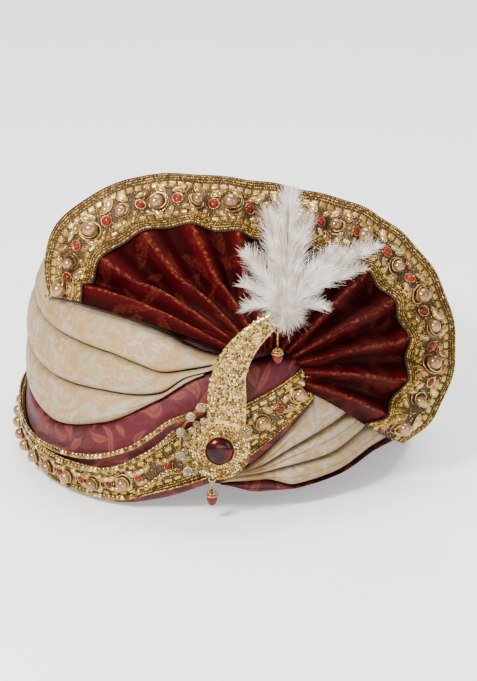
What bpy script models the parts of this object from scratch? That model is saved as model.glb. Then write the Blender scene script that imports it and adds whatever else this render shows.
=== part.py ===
"""A tied wedding turban: wound folds round a crown, a pleated fan with jewelled lace, and a plumed brooch.

Metres, +Z up. The turban stands on its rim at z = 0 and its front looks along -Y. It is modelled round the
middle of the head opening and moved at the end so that the origin is the middle of its whole base. Azimuth is
the angle round the head in degrees: 0 at the front, 90 at -X, 180 at the back and 270 at +X.
"""

import math

import bmesh
import bpy
import numpy as np
from mathutils import Matrix, Vector

MM = 0.001

# Wound body
BODY_HALF_WIDTH = 130 * MM
BODY_HALF_DEPTH = 155 * MM
WRAP_HEIGHT = 120 * MM
WRAP_THICKNESS = 20 * MM
FOLD_DEPTH = 5 * MM
PLAN_POWER_LEFT = 2.4
PLAN_POWER_RIGHT = 2.0

# Crown and the hollow for the head
CROWN_HEIGHT = 142 * MM
CROWN_SHOULDER = 96 * MM
CROWN_POWER = 2.2
HEAD_HALF_WIDTH = 86 * MM
HEAD_HALF_DEPTH = 100 * MM
HEAD_HEIGHT = 118 * MM
HEAD_SHOULDER = 55 * MM

# Bands of facets from pole to pole of a bead
BALL_ROWS = 4

# Clearances
GAP = 0.3 * MM
SEAT = 0.5 * MM
DOME_SAG = 2.2 * MM

# Azimuths at which the wound cloth is cut: the usual step, the step at the front, and how far the front runs
STATION_STEP = 10.0
FINE_STEP = 5.0
FRONT_SPAN = 35.0

# Rows of points: up the crown and its hollow, and across the outside of a fold, as shares of their heights
CROWN_ROWS = (0.0, 0.35, 0.70, 0.84, 0.92, 0.97)
HOLLOW_ROWS = (0.0, 0.47, 0.75, 0.93)
FOLD_ROWS = (0.0, 0.15, 0.50, 0.85, 1.0)
TOP_FOLD_INNER_ROWS = (1.0, 0.65, 0.30)

# Lace
LACE_THICKNESS = 1.5 * MM
LACE_GAP = 0.85 * MM
FAN_LACE_WIDTH = 38 * MM
FAN_LACE_MARGIN = 1.5 * MM

# Fan
FAN_THICKNESS = 2.0 * MM
FAN_CENTRE_X = 28 * MM
FAN_CENTRE_INSET = 23 * MM
FAN_CENTRE_Z = 85 * MM
FAN_REACH = 130 * MM
FAN_BACK = 88 * MM
FAN_BULGE = 7 * MM
PLEAT_DEPTH = 5.5 * MM
FAN_CLEARANCE = 1.2 * MM

# Degrees to either side over which the fan's slope is measured, the row between its root and the lace as a
# share of that distance, and how often the search for the point outside the body halves its step
NORMAL_SPAN = 9
FAN_MIDDLE_ROW = 0.42
HALVINGS = 30

# Stones on the lace: their sizes, the number and inset of the fan's pearls, and along the band the step
# between pearls, the azimuth of the first one, their number and the azimuths that the brooch covers
PEARL_RADIUS = 5.2 * MM
SMALL_PEARL_RADIUS = 4.2 * MM
RED_STONE_RADIUS = 2.7 * MM
FAN_PEARLS = 17
FAN_PEARL_INSET = 21 * MM
BAND_SPACING = 8.6
BAND_FIRST_PEARL = -19.5
BAND_PEARLS = 11
BROOCH_COVER = (-12, 20)

# Brooch
BROOCH_RADIUS = 20 * MM
BROOCH_THICKNESS = 2.5 * MM
BROOCH_STANDOFF = 5.0 * MM
BROOCH_Z = 49 * MM
BROOCH_LEAN = 4.0
RUBY_RADIUS = 9.0 * MM
BEZEL_WALL = 1.2 * MM
SIDE_STONE_RADIUS = 3.4 * MM
DROP_RADIUS = 3.6 * MM
WIRE_RADIUS = 0.55 * MM
CHAIN_RADIUS = 1.25 * MM
CHAIN_POINTS = 36
CHAIN_CROWDING = 1.12
CHAIN_LEAD = 12.0
CLASP_START = 178.25
CLASP_SPAN = 4.0
CLASP_HEIGHTS = (3.5, 33.5)
GALLERY_RADIUS = 1.1 * MM
PIN_RADIUS = 3 * MM
EYE_RADIUS = 2.0 * MM
LOWER_DROP = 11 * MM
UPPER_DROP = 16 * MM

# Plume
PLUME_HEAD_RADIUS = 7.5 * MM
PLUME_HEIGHT = 80 * MM

# Height of the wall against its radius, as shares of WRAP_HEIGHT and of the body's plan: (height, radius)
WALL = (
    (0.00, 0.975),
    (0.12, 0.995),
    (0.25, 1.000),
    (0.60, 1.000),
    (0.76, 0.985),
    (0.88, 0.955),
    (0.98, 0.915),
    (1.06, 0.855),
    (1.12, 0.770),
    (1.16, 0.600),
    (1.1834, 0.000),
)

# Lower and upper edge of the maroon wrap on its spiral, as shares of WRAP_HEIGHT: (azimuth, edge)
MAROON_LOW = (
    (-25, 0.600),
    (-18, 0.460),
    (-10, 0.310),
    (-4, 0.230),
    (4, 0.155),
    (17, 0.050),
    (28, 0.000),
    (272, 0.000),
    (285, 0.090),
    (300, 0.170),
    (312, 0.190),
    (327, 0.135),
    (345, 0.110),
    (350, 0.110),
)
MAROON_TOP = (
    (-25, 0.860),
    (-18, 0.860),
    (-5, 0.830),
    (4, 0.800),
    (8, 0.755),
    (15, 0.650),
    (31, 0.450),
    (54, 0.335),
    (90, 0.340),
    (180, 0.330),
    (225, 0.310),
    (272, 0.235),
    (285, 0.220),
    (300, 0.230),
    (312, 0.235),
    (327, 0.175),
    (345, 0.180),
    (360, 0.180),
)

# Upper edges of the three cream folds, as shares of WRAP_HEIGHT: (azimuth, lower, middle and upper fold)
CREAM_TOPS = (
    (-6, 0.880, 0.900, 0.860),
    (3, 0.815, 0.840, 0.890),
    (8, 0.785, 0.815, 0.920),
    (15, 0.680, 0.790, 0.970),
    (22, 0.650, 0.820, 1.000),
    (31, 0.640, 0.850, 1.020),
    (42, 0.620, 0.855, 1.015),
    (54, 0.605, 0.850, 1.010),
    (75, 0.600, 0.845, 1.000),
    (90, 0.585, 0.830, 1.000),
    (135, 0.570, 0.800, 0.990),
    (180, 0.560, 0.785, 0.980),
    (225, 0.540, 0.770, 0.980),
    (272, 0.460, 0.700, 0.975),
    (300, 0.400, 0.620, 0.965),
    (312, 0.350, 0.520, 0.960),
    (320, 0.305, 0.465, 0.945),
    (330, 0.248, 0.405, 0.800),
    (342, 0.235, 0.330, 0.800),
    (350, 0.222, 0.262, 0.800),
    (360, 0.210, 0.225, 0.800),
)

# Where each cream fold starts and ends, in degrees of azimuth, from the lowest to the uppermost
CREAM_RUNS = ((15.5, 355), (9, 352), (-1, 350))

# How far the rim is lifted off the table, as a share of WRAP_HEIGHT: (azimuth, lift)
RIM_LIFT = (
    (0, 0.120),
    (5, 0.130),
    (17, 0.050),
    (28, 0.000),
    (272, 0.000),
    (285, 0.090),
    (300, 0.170),
    (312, 0.190),
    (327, 0.135),
    (345, 0.110),
    (360, 0.120),
)

# Lower and upper edge of the lace band, as shares of WRAP_HEIGHT: (azimuth, low, high)
BAND = (
    (-25, 0.655, 0.850),
    (-15, 0.475, 0.735),
    (-5, 0.310, 0.640),
    (5, 0.200, 0.545),
    (17, 0.105, 0.350),
    (24, 0.045, 0.265),
    (31, 0.020, 0.215),
    (54, 0.018, 0.190),
    (75, 0.018, 0.200),
    (90, 0.020, 0.225),
    (180, 0.020, 0.240),
    (240, 0.020, 0.235),
)

# Outline of the fan seen from the front, round its centre: (angle, reach as a share of FAN_REACH,
# distance back as a share of FAN_BACK, where its cloth comes out of the folds as a share of the reach)
FAN_RIM = (
    (-33, 0.87, 0.54, 0.44),
    (-20, 0.96, 0.65, 0.38),
    (-3, 1.00, 0.84, 0.31),
    (15, 0.98, 0.92, 0.27),
    (35, 0.93, 0.98, 0.24),
    (57, 0.87, 1.00, 0.23),
    (76, 0.83, 1.00, 0.22),
    (94, 0.86, 0.99, 0.18),
    (110, 0.95, 0.97, 0.16),
    (130, 1.13, 0.91, 0.17),
    (150, 1.24, 0.82, 0.20),
    (168, 1.12, 0.84, 0.25),
)

# Ridges of the pleats from right to left: (angle of the ridge, depth as a share of PLEAT_DEPTH)
PLEATS = (
    (-24, 0.9),
    (-9, 1.0),
    (7, 1.0),
    (23, 1.0),
    (39, 1.0),
    (53, 1.2),
    (69, 0.9),
    (85, 1.0),
    (101, 1.0),
    (118, 1.1),
    (133, 1.0),
    (147, 1.0),
    (160, 0.8),
)

# Share of the pleat depth along the cloth: (share of the reach, share of the depth)
PLEAT_SWELL = ((0.0, 0.10), (0.20, 0.25), (0.35, 0.70), (0.50, 1.0), (0.75, 0.80), (1.0, 0.50))


def curve_through(rows, column=1):
    """A smooth curve through one column of a table against its first column, which never overshoots a row."""
    ordered = sorted(rows)
    keys = np.array([row[0] for row in ordered], float)
    values = np.array([row[column] for row in ordered], float)
    slopes = np.diff(values) / np.diff(keys)
    tangents = np.zeros_like(values)
    tangents[0], tangents[-1] = slopes[0], slopes[-1]
    for i in range(1, len(values) - 1):
        if slopes[i - 1] * slopes[i] > 0:
            tangents[i] = 2 * slopes[i - 1] * slopes[i] / (slopes[i - 1] + slopes[i])

    def at(key):
        key = min(max(key, keys[0]), keys[-1])
        i = min(max(int(np.searchsorted(keys, key)) - 1, 0), len(keys) - 2)
        span = keys[i + 1] - keys[i]
        u = (key - keys[i]) / span
        start = (2 * u**3 - 3 * u**2 + 1) * values[i] + (u**3 - 2 * u**2 + u) * span * tangents[i]
        end = (3 * u**2 - 2 * u**3) * values[i + 1] + (u**3 - u**2) * span * tangents[i + 1]
        return float(start + end)

    return at


wall_share = curve_through(WALL)
maroon_low_share = curve_through(MAROON_LOW)
maroon_top_share = curve_through(MAROON_TOP)
cream_top_shares = [curve_through(CREAM_TOPS, column) for column in (1, 2, 3)]
rim_lift_share = curve_through(RIM_LIFT)
band_low_share = curve_through(BAND, 1)
band_high_share = curve_through(BAND, 2)
fan_reach_share = curve_through(FAN_RIM, 1)
fan_back_share = curve_through(FAN_RIM, 2)
fan_root_share = curve_through(FAN_RIM, 3)
pleat_swell = curve_through(PLEAT_SWELL)


def plan_radius(azimuth, half_width, half_depth):
    """Distance from the axis to the oval outline of the body in this direction."""
    turned = math.radians(azimuth)
    power = PLAN_POWER_LEFT if math.sin(turned) > 0 else PLAN_POWER_RIGHT
    if math.cos(turned) < 0:
        power = PLAN_POWER_RIGHT
    across = (abs(math.sin(turned)) / half_width) ** power
    along = (abs(math.cos(turned)) / half_depth) ** power
    return (across + along) ** (-1 / power)


def around(azimuth, radius, z):
    turned = math.radians(azimuth)
    return Vector((-math.sin(turned) * radius, -math.cos(turned) * radius, z))


def body_radius(azimuth, z):
    return plan_radius(azimuth, BODY_HALF_WIDTH, BODY_HALF_DEPTH) * wall_share(z / WRAP_HEIGHT)


def fold_radius(azimuth, z, low, high, depth):
    """Outer radius of a wound fold, which is full in the middle and drawn in at both edges."""
    across = min(max((z - low) / (high - low), 0.0), 1.0)
    return body_radius(azimuth, z) - depth * abs(2 * across - 1) ** 3


def crown_radius(azimuth, z):
    half_width = BODY_HALF_WIDTH - WRAP_THICKNESS
    half_depth = BODY_HALF_DEPTH - WRAP_THICKNESS
    rise = min(max((z - CROWN_SHOULDER) / (CROWN_HEIGHT - CROWN_SHOULDER), 0.0), 1.0)
    return plan_radius(azimuth, half_width, half_depth) * (1 - rise**CROWN_POWER) ** (1 / CROWN_POWER)


def head_radius(azimuth, z):
    rise = min(max((z - HEAD_SHOULDER) / (HEAD_HEIGHT - HEAD_SHOULDER), 0.0), 1.0)
    return plan_radius(azimuth, HEAD_HALF_WIDTH, HEAD_HALF_DEPTH) * math.sqrt(1 - rise**2)


def maroon_low(azimuth):
    return maroon_low_share(azimuth) * WRAP_HEIGHT


def maroon_top(azimuth):
    return maroon_top_share(azimuth) * WRAP_HEIGHT


def maroon_radius(azimuth, z):
    return fold_radius(azimuth, z, maroon_low(azimuth), maroon_top(azimuth), FOLD_DEPTH / 2)


def cream_edge(layer, azimuth):
    """Height of the edge above cream fold number layer; layer 0 is the top of the maroon wrap below them."""
    top = maroon_top(azimuth) if layer == 0 else cream_top_shares[layer - 1](azimuth) * WRAP_HEIGHT
    if azimuth >= MAROON_LOW[0][0] + 360:
        top = min(top, maroon_low(azimuth - 360) - GAP)
    return top


def material(name, colour, roughness, metallic=0.0):
    made = bpy.data.materials.new(name)
    made.use_nodes = True
    shader = made.node_tree.nodes["Principled BSDF"]
    shader.inputs["Base Color"].default_value = (*colour, 1.0)
    shader.inputs["Roughness"].default_value = roughness
    shader.inputs["Metallic"].default_value = metallic
    made.diffuse_color = (*colour, 1.0)
    return made


def add_object(name, mesh, finish, smooth_angle=None):
    obj = bpy.data.objects.new(name, mesh)
    bpy.context.scene.collection.objects.link(obj)
    if finish is not None:
        mesh.materials.append(finish)
    if smooth_angle is not None:
        mesh.shade_smooth()
        mesh.set_sharp_from_angle(angle=math.radians(smooth_angle))
    return obj


def mesh_of(name, points, faces):
    """A closed mesh from points and faces, with its faces turned outwards."""
    mesh = bpy.data.meshes.new(name)
    mesh.from_pydata([tuple(p) for p in points], [], faces)
    shape = bmesh.new()
    shape.from_mesh(mesh)
    bmesh.ops.triangulate(shape, faces=shape.faces)
    bmesh.ops.recalc_face_normals(shape, faces=shape.faces)
    shape.to_mesh(mesh)
    shape.free()
    return mesh


def loft(name, sections):
    """A closed mesh through sections of equally many points, with a face at each end."""
    count = len(sections[0])
    points = [p for section in sections for p in section]
    faces = []
    for i in range(len(sections) - 1):
        for j in range(count):
            k = (j + 1) % count
            faces.append((i * count + j, i * count + k, (i + 1) * count + k, (i + 1) * count + j))
    faces.append(tuple(reversed(range(count))))
    faces.append(tuple((len(sections) - 1) * count + j for j in range(count)))
    return mesh_of(name, points, faces)


def sheet_solid(name, front, back):
    """A closed mesh between two grids of points with the same rows and columns."""
    rows, columns = len(front), len(front[0])
    points = [p for row in front for p in row] + [p for row in back for p in row]
    offset = rows * columns
    faces = []
    for i in range(rows - 1):
        for j in range(columns - 1):
            a, b = i * columns + j, i * columns + j + 1
            c, d = b + columns, a + columns
            faces += [(a, b, c), (a, c, d)]
            faces += [(a + offset, c + offset, b + offset), (a + offset, d + offset, c + offset)]
    edge = [j for j in range(columns)]
    edge += [i * columns + columns - 1 for i in range(1, rows)]
    edge += [(rows - 1) * columns + j for j in range(columns - 2, -1, -1)]
    edge += [i * columns for i in range(rows - 2, 0, -1)]
    for a, b in zip(edge, edge[1:] + edge[:1]):
        faces += [(a, b, b + offset), (a, b + offset, a + offset)]
    return mesh_of(name, points, faces)


def joined(meshes, name):
    """One mesh that holds several closed ones."""
    shape = bmesh.new()
    for mesh in meshes:
        shape.from_mesh(mesh)
    made = bpy.data.meshes.new(name)
    shape.to_mesh(made)
    shape.free()
    return made


def fuse(obj, additions, crossing=True):
    """Unites closed meshes that touch an object with it; crossing says that they also meet each other."""
    helper = add_object(obj.name + "_additions", joined(additions, obj.name + "_additions"), None)
    helper.hide_render = True
    helper.display_type = "WIRE"
    modifier = obj.modifiers.new("Fused pieces", "BOOLEAN")
    modifier.operation = "UNION"
    modifier.solver = "EXACT"
    modifier.use_self = crossing
    modifier.object = helper
    return obj


def spun(name, profile, sides, start=0.0):
    """A round mesh on the Z axis from (radius, z) rows, whose first and last rows are closed."""
    points, faces, rings = [], [], []
    for radius, z in profile:
        if radius == 0:
            rings.append([len(points)])
            points.append(Vector((0, 0, z)))
            continue
        rings.append(list(range(len(points), len(points) + sides)))
        for i in range(sides):
            turned = start + 2 * math.pi * i / sides
            points.append(Vector((radius * math.cos(turned), radius * math.sin(turned), z)))
    for lower, upper in zip(rings, rings[1:]):
        for i in range(sides):
            j = (i + 1) % sides
            if len(lower) == 1:
                faces.append((lower[0], upper[j], upper[i]))
            elif len(upper) == 1:
                faces.append((lower[i], lower[j], upper[0]))
            else:
                faces.append((lower[i], lower[j], upper[j], upper[i]))
    for ring in (rings[0], rings[-1]):
        if len(ring) > 1:
            faces.append(tuple(ring))
    return mesh_of(name, points, faces)


def facing(normal, along=Vector((0, 0, 1))):
    """A rotation whose Z axis is the normal and whose X axis lies as near as it can to along."""
    z = normal.normalized()
    x = (along - z * along.dot(z)).normalized()
    return Matrix((x, z.cross(x), z)).transposed()


def placed(mesh, centre, turn):
    made = mesh.copy()
    made.transform(Matrix.Translation(centre) @ turn.to_4x4())
    return made


def ball(name, radius, sides=10):
    """A round bead of BALL_ROWS bands of facets."""
    profile = [(0, -radius)]
    for i in range(1, BALL_ROWS):
        turned = math.pi * i / BALL_ROWS
        profile.append((radius * math.sin(turned), -radius * math.cos(turned)))
    profile.append((0, radius))
    return spun(name, profile, sides)


def scaled(rows, radius, height):
    """Rows of (radius, z) shares at a stone's own radius and height."""
    return [(row[0] * radius, row[1] * height) for row in rows]


def cut_stone(name, radius, height, sunk, sides=8):
    """A stone with a table, a ring of crown facets, a girdle and a foot sunk below its base."""
    profile = [(radius * STONE_FOOT, -sunk), *scaled(STONE_CROWN, radius, height)]
    return spun(name, profile, sides, start=math.pi / sides)


def build_crown(finish):
    """The padded crown: a thick wound dome whose hollow takes the head."""
    columns = round(360 / STATION_STEP)
    points, faces, rings = [], [], []

    def ring(radius_at, top, share):
        start = len(points)
        for i in range(columns):
            azimuth = 360 * i / columns
            lift = rim_lift_share(azimuth) * WRAP_HEIGHT
            z = lift + (top - lift) * share
            points.append(around(azimuth, radius_at(azimuth, z), z))
        return list(range(start, start + columns))

    for share in CROWN_ROWS:
        rings.append(ring(crown_radius, CROWN_HEIGHT, share))
    crown_top = len(points)
    points.append(Vector((0, 0, CROWN_HEIGHT)))
    inner = [ring(head_radius, HEAD_HEIGHT, share) for share in HOLLOW_ROWS]
    hollow_top = len(points)
    points.append(Vector((0, 0, HEAD_HEIGHT)))
    for i in range(columns):
        j = (i + 1) % columns
        for group in (rings, inner):
            for lower, upper in zip(group, group[1:]):
                faces.append((lower[i], lower[j], upper[j], upper[i]))
        faces.append((rings[-1][i], rings[-1][j], crown_top))
        faces.append((inner[-1][i], inner[-1][j], hollow_top))
        faces.append((rings[0][i], rings[0][j], inner[0][j], inner[0][i]))
    return add_object("crown", mesh_of("crown", points, faces), finish, 40)


def seat_radius(azimuth, z):
    """Inner radius of the wound cloth, far enough out that its facets clear the crown between stations."""
    over_shoulder = DOME_SAG * min(max(10 * z / CROWN_SHOULDER - 8.5, 0.0), 1.0)
    return crown_radius(azimuth, z) / math.cos(math.radians(STATION_STEP / 2)) + GAP + over_shoulder


def wrap_section(azimuth, low, high, radius_at, inner_shares=(1.0,)):
    """Outline of a wound fold at one azimuth, from its inner foot outwards, up and back in."""
    section = [around(azimuth, seat_radius(azimuth, low), low)]
    for share in FOLD_ROWS:
        z = low + (high - low) * share
        section.append(around(azimuth, radius_at(azimuth, z), z))
    for share in inner_shares:
        z = low + (high - low) * share
        section.append(around(azimuth, seat_radius(azimuth, z), z))
    return section


def stations(start, end):
    """Azimuths at which the cloth is cut: the same round the head for every fold, and closer at the front."""
    found = [start]
    for index in range(math.ceil(start / FINE_STEP), math.ceil(end / FINE_STEP)):
        azimuth = index * FINE_STEP
        at_front = (azimuth + FRONT_SPAN) % 360 <= FRONT_SPAN * 2
        if azimuth > start and (at_front or index % round(STATION_STEP / FINE_STEP) == 0):
            found.append(azimuth)
    return found + [end]


def build_maroon_wrap(finish):
    """The outer wrap, a spiral from its tucked end above the brow round the rim and under its own start."""
    sections = [
        wrap_section(azimuth, maroon_low(azimuth), maroon_top(azimuth), maroon_radius)
        for azimuth in stations(MAROON_LOW[0][0], MAROON_LOW[-1][0])
    ]
    return add_object("maroon_wrap", loft("maroon_wrap", sections), finish, 50)


def build_cream_fold(layer, start, end, finish):
    """One of the cream folds that run from behind the brooch round the back to the other side of the brow."""

    def radius_at(azimuth, z):
        low, high = cream_edge(layer - 1, azimuth) + GAP, cream_edge(layer, azimuth)
        return fold_radius(azimuth, z, low, high, FOLD_DEPTH)

    inner_shares = TOP_FOLD_INNER_ROWS if layer == len(CREAM_RUNS) else TOP_FOLD_INNER_ROWS[:1]
    sections = []
    for azimuth in stations(start, end):
        low, high = cream_edge(layer - 1, azimuth) + GAP, cream_edge(layer, azimuth)
        sections.append(wrap_section(azimuth, low, high, radius_at, inner_shares))
    name = f"cream_fold_{layer}"
    return add_object(name, loft(name, sections), finish, 50)


def band_edges(azimuth):
    return band_low_share(azimuth) * WRAP_HEIGHT, band_high_share(azimuth) * WRAP_HEIGHT


def band_point(azimuth, across, height):
    """A point over the lace band: across runs from its lower to its upper edge, height is above the wrap."""
    low, high = band_edges(azimuth)
    z = low + (high - low) * across
    return around(azimuth, maroon_radius(azimuth, z) + height, z)


def band_frame(azimuth, across, height):
    """The point over the band, its outward normal and the direction in which the band runs."""
    here = band_point(azimuth, across, height)
    ahead = band_point(azimuth + 1, across, height)
    above = band_point(azimuth, across + 0.05, height)
    along = (ahead - here).normalized()
    normal = (above - here).cross(along).normalized()
    if normal.dot(Vector((here.x, here.y, 0))) < 0:
        normal.negate()
    return here, normal, along


def build_band(finish):
    """The lace band on the maroon wrap."""
    across = (0.0, 0.5, 1.0)
    turns = stations(BAND[0][0], BAND[-1][0])
    back = [[band_point(azimuth, share, LACE_GAP) for azimuth in turns] for share in across]
    front = [[band_point(azimuth, share, LACE_GAP + LACE_THICKNESS) for azimuth in turns] for share in across]
    return add_object("lace_band", sheet_solid("lace_band", front, back), finish)


def build_band_pearls(finish):
    made = []
    azimuth = BAND_FIRST_PEARL
    while len(made) < BAND_PEARLS:
        if not BROOCH_COVER[0] < azimuth < BROOCH_COVER[1]:
            radius = SMALL_PEARL_RADIUS
            centre, normal, along = band_frame(azimuth, 0.5, 0)
            centre = centre + normal * (LACE_GAP + LACE_THICKNESS + GAP + radius)
            mesh = placed(ball("band_pearl", radius), Vector((0, 0, 0)), facing(normal, along))
            obj = add_object(f"band_pearl_{len(made) + 1:02d}", mesh, finish, 60)
            obj.location = centre
            made.append(obj)
        azimuth += BAND_SPACING
    return made


FAN_CENTRE = Vector((FAN_CENTRE_X, FAN_CENTRE_INSET - BODY_HALF_DEPTH, FAN_CENTRE_Z))
PUSH_CENTRE = Vector((0, 0, -WRAP_HEIGHT / 6))
FAN_START, FAN_END = FAN_RIM[0][0], FAN_RIM[-1][0]


def outside_body(point, clearance):
    """The point itself, or if it lies inside the wound body, where its ray comes clear of it."""
    away = point - PUSH_CENTRE

    def depth(scale):
        at = PUSH_CENTRE + away * scale
        azimuth = math.degrees(math.atan2(-at.x, -at.y)) % 360
        shown = WALL[-1][0] * WRAP_HEIGHT
        if at.z >= shown:
            return 1.0
        return math.hypot(at.x, at.y) - body_radius(azimuth, max(at.z, 0.0)) - clearance

    if depth(1.0) >= 0:
        return point
    low, high = 1.0, 3.0
    for _ in range(HALVINGS):
        middle = (low + high) / 2
        low, high = (middle, high) if depth(middle) < 0 else (low, middle)
    return PUSH_CENTRE + away * high


def rim_point(angle):
    turned = math.radians(angle)
    reach = fan_reach_share(angle) * FAN_REACH
    back = fan_back_share(angle) * FAN_BACK
    return FAN_CENTRE + Vector((reach * math.cos(turned), back, reach * math.sin(turned)))


def fan_smooth(angle, share):
    """The fan without its pleats, at an angle round its centre and a share of the way to the rim."""
    point = FAN_CENTRE.lerp(rim_point(angle), share)
    point = point + Vector((0, -FAN_BULGE * math.sin(math.pi * share), 0))
    return outside_body(point, PLEAT_DEPTH * pleat_swell(share) + FAN_THICKNESS / 2 + FAN_CLEARANCE)


def fan_normal(angle, share):
    across = fan_smooth(angle + NORMAL_SPAN, share) - fan_smooth(angle - NORMAL_SPAN, share)
    outward = fan_smooth(angle, share * 1.1) - fan_smooth(angle, share * 0.9)
    return outward.cross(across).normalized()


def pleat_wave(angle):
    """Height of the pleats at an angle, from -1 in a valley to the ridge's own share of the depth."""
    ridges = [row[0] for row in PLEATS]
    valleys = [FAN_START] + [(a + b) / 2 for a, b in zip(ridges, ridges[1:])] + [FAN_END]
    for index, (ridge, depth) in enumerate(PLEATS):
        left, right = valleys[index], valleys[index + 1]
        if left <= angle <= right:
            run = (angle - left) / (ridge - left) if angle < ridge else (right - angle) / (right - ridge)
            return depth * (1 - math.cos(math.pi * run)) - 1
    return -1.0


def fan_point(angle, share, height=0.0):
    """A point on the pleated cloth, height above its middle surface."""
    normal = fan_normal(angle, share)
    lift = PLEAT_DEPTH * pleat_swell(share) * pleat_wave(angle) + height
    return fan_smooth(angle, share) + normal * lift


def fan_angles():
    ridges = [row[0] for row in PLEATS]
    valleys = [FAN_START] + [(a + b) / 2 for a, b in zip(ridges, ridges[1:])] + [FAN_END]
    found = []
    for index, ridge in enumerate(ridges):
        left, right = valleys[index], valleys[index + 1]
        found += [left, (left + ridge) / 2, ridge, (ridge + right) / 2]
    return found + [FAN_END]


def lace_share(angle, inset):
    """Share of the reach at a distance in from the rim."""
    return 1 - inset / (rim_point(angle) - FAN_CENTRE).length


def fan_share(angle, row):
    """Share of the reach of a grid row: the root, halfway, both edges of the lace, and the rim."""
    root = fan_root_share(angle)
    inner = lace_share(angle, FAN_LACE_MARGIN + FAN_LACE_WIDTH)
    outer = lace_share(angle, FAN_LACE_MARGIN)
    return (root, root + (inner - root) * FAN_MIDDLE_ROW, inner, outer, 1.0)[row]


def build_fan(finish):
    """The pleated fan that rises from behind the brooch."""
    angles = fan_angles()
    half = FAN_THICKNESS / 2
    front = [[fan_point(angle, fan_share(angle, row), half) for angle in angles] for row in range(5)]
    back = [[fan_point(angle, fan_share(angle, row), -half) for angle in angles] for row in range(5)]
    return add_object("fan", sheet_solid("fan", front, back), finish, 50)


def lace_corners(before, after, height):
    """Corners of the lace's face between two angles: both inner ones, then both outer ones."""
    return [fan_point(angle, fan_share(angle, row), height) for row in (2, 3) for angle in (before, after)]


def on_facets(corners, along, across):
    """A point of a lace face, on the two flat triangles that it is split into."""
    inner, inner_next, outer, outer_next = corners
    if along >= across:
        return inner + (inner_next - inner) * along + (outer_next - inner_next) * across
    return inner + (outer - inner) * across + (outer_next - outer) * along


def fan_lace_frame(angle, inset, height):
    """A point on the flat facets of the fan's lace, the normal of the face and its run along the rim."""
    angles = fan_angles()
    index = min(max(int(np.searchsorted(angles, angle)) - 1, 0), len(angles) - 2)
    before, after = angles[index], angles[index + 1]
    corners = lace_corners(before, after, height)
    share = (angle - before) / (after - before)
    across = 1 - (inset - FAN_LACE_MARGIN) / FAN_LACE_WIDTH
    along = (corners[1] + corners[3] - corners[0] - corners[2]).normalized()
    outward = corners[2] + corners[3] - corners[0] - corners[1]
    return on_facets(corners, share, across), outward.cross(along).normalized(), along


def fan_lace_samples(height):
    """Points spread over the front of the fan's lace."""
    angles = fan_angles()
    samples = []
    for before, after in zip(angles, angles[1:]):
        corners = lace_corners(before, after, height)
        for along in np.linspace(0, 1, 9):
            samples += [tuple(on_facets(corners, along, across)) for across in np.linspace(0, 1, 40)]
    return np.array(samples)


def resting_height(centre, normal, radius, samples, flat=False):
    """How far out along the normal a ball, or the flat base of a stone, sits when it lies on the samples."""
    apart = samples - np.array(centre)
    up = apart @ np.array(normal)
    beside = np.sum(apart**2, axis=1) - up**2
    near = beside < radius**2
    reach = 0.0 if flat else np.sqrt(radius**2 - beside[near])
    return float(np.max(up[near] + reach))


def fan_pearl_angles():
    """Angles of the pearls, evenly spaced along the rim."""
    fine = [FAN_START + (FAN_END - FAN_START) * i / 200 for i in range(201)]
    steps = [(rim_point(a) - rim_point(b)).length for a, b in zip(fine, fine[1:])]
    run = np.concatenate([[0], np.cumsum(steps)])
    return [float(np.interp(run[-1] * (i + 0.5) / FAN_PEARLS, run, fine)) for i in range(FAN_PEARLS)]


def build_fan_lace(finish):
    """The jewelled lace along the rim of the fan."""
    angles = fan_angles()
    low = FAN_THICKNESS / 2 + LACE_GAP
    high = low + LACE_THICKNESS
    front = [[fan_point(angle, fan_share(angle, row), high) for angle in angles] for row in (2, 3)]
    back = [[fan_point(angle, fan_share(angle, row), low) for angle in angles] for row in (2, 3)]
    obj = add_object("fan_lace", sheet_solid("fan_lace", front, back), finish)
    red = cut_stone("red", RED_STONE_RADIUS, RED_STONE_RADIUS, LACE_THICKNESS * RED_STONE_SUNK)
    studs = []
    samples = fan_lace_samples(high)
    pearls = fan_pearl_angles()
    for here, following in zip(pearls[1:], pearls[2:]):
        centre, normal, along = fan_lace_frame((here + following) / 2, FAN_PEARL_INSET, high)
        centre = centre + normal * resting_height(centre, normal, RED_STONE_RADIUS, samples, flat=True)
        studs.append(placed(red, centre, facing(normal, along)))
    return fuse(obj, studs, crossing=False)


def build_fan_pearls(finish):
    made = []
    surface = FAN_THICKNESS / 2 + LACE_GAP + LACE_THICKNESS
    samples = fan_lace_samples(surface)
    for index, angle in enumerate(fan_pearl_angles()):
        radius = PEARL_RADIUS if index % 2 == 0 else SMALL_PEARL_RADIUS
        centre, normal, along = fan_lace_frame(angle, FAN_PEARL_INSET, surface)
        centre = centre + normal * resting_height(centre, normal, radius + GAP, samples)
        mesh = placed(ball("fan_pearl", radius), Vector((0, 0, 0)), facing(normal, along))
        obj = add_object(f"fan_pearl_{index + 1:02d}", mesh, finish, 60)
        obj.location = centre
        made.append(obj)
    return made


# Cuts of the stones, from the foot up: (radius, height), as shares of the stone's radius and height
STONE_FOOT = 0.9
STONE_CROWN = ((1.0, 0.3), (0.55, 1.0))
RUBY_CUT = ((0.5, 0.0), (1.0, 0.28), (0.78, 0.48), (0.45, 0.6))
SIDE_STONE_RISE = 0.8
RED_STONE_SUNK = 0.6

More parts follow.
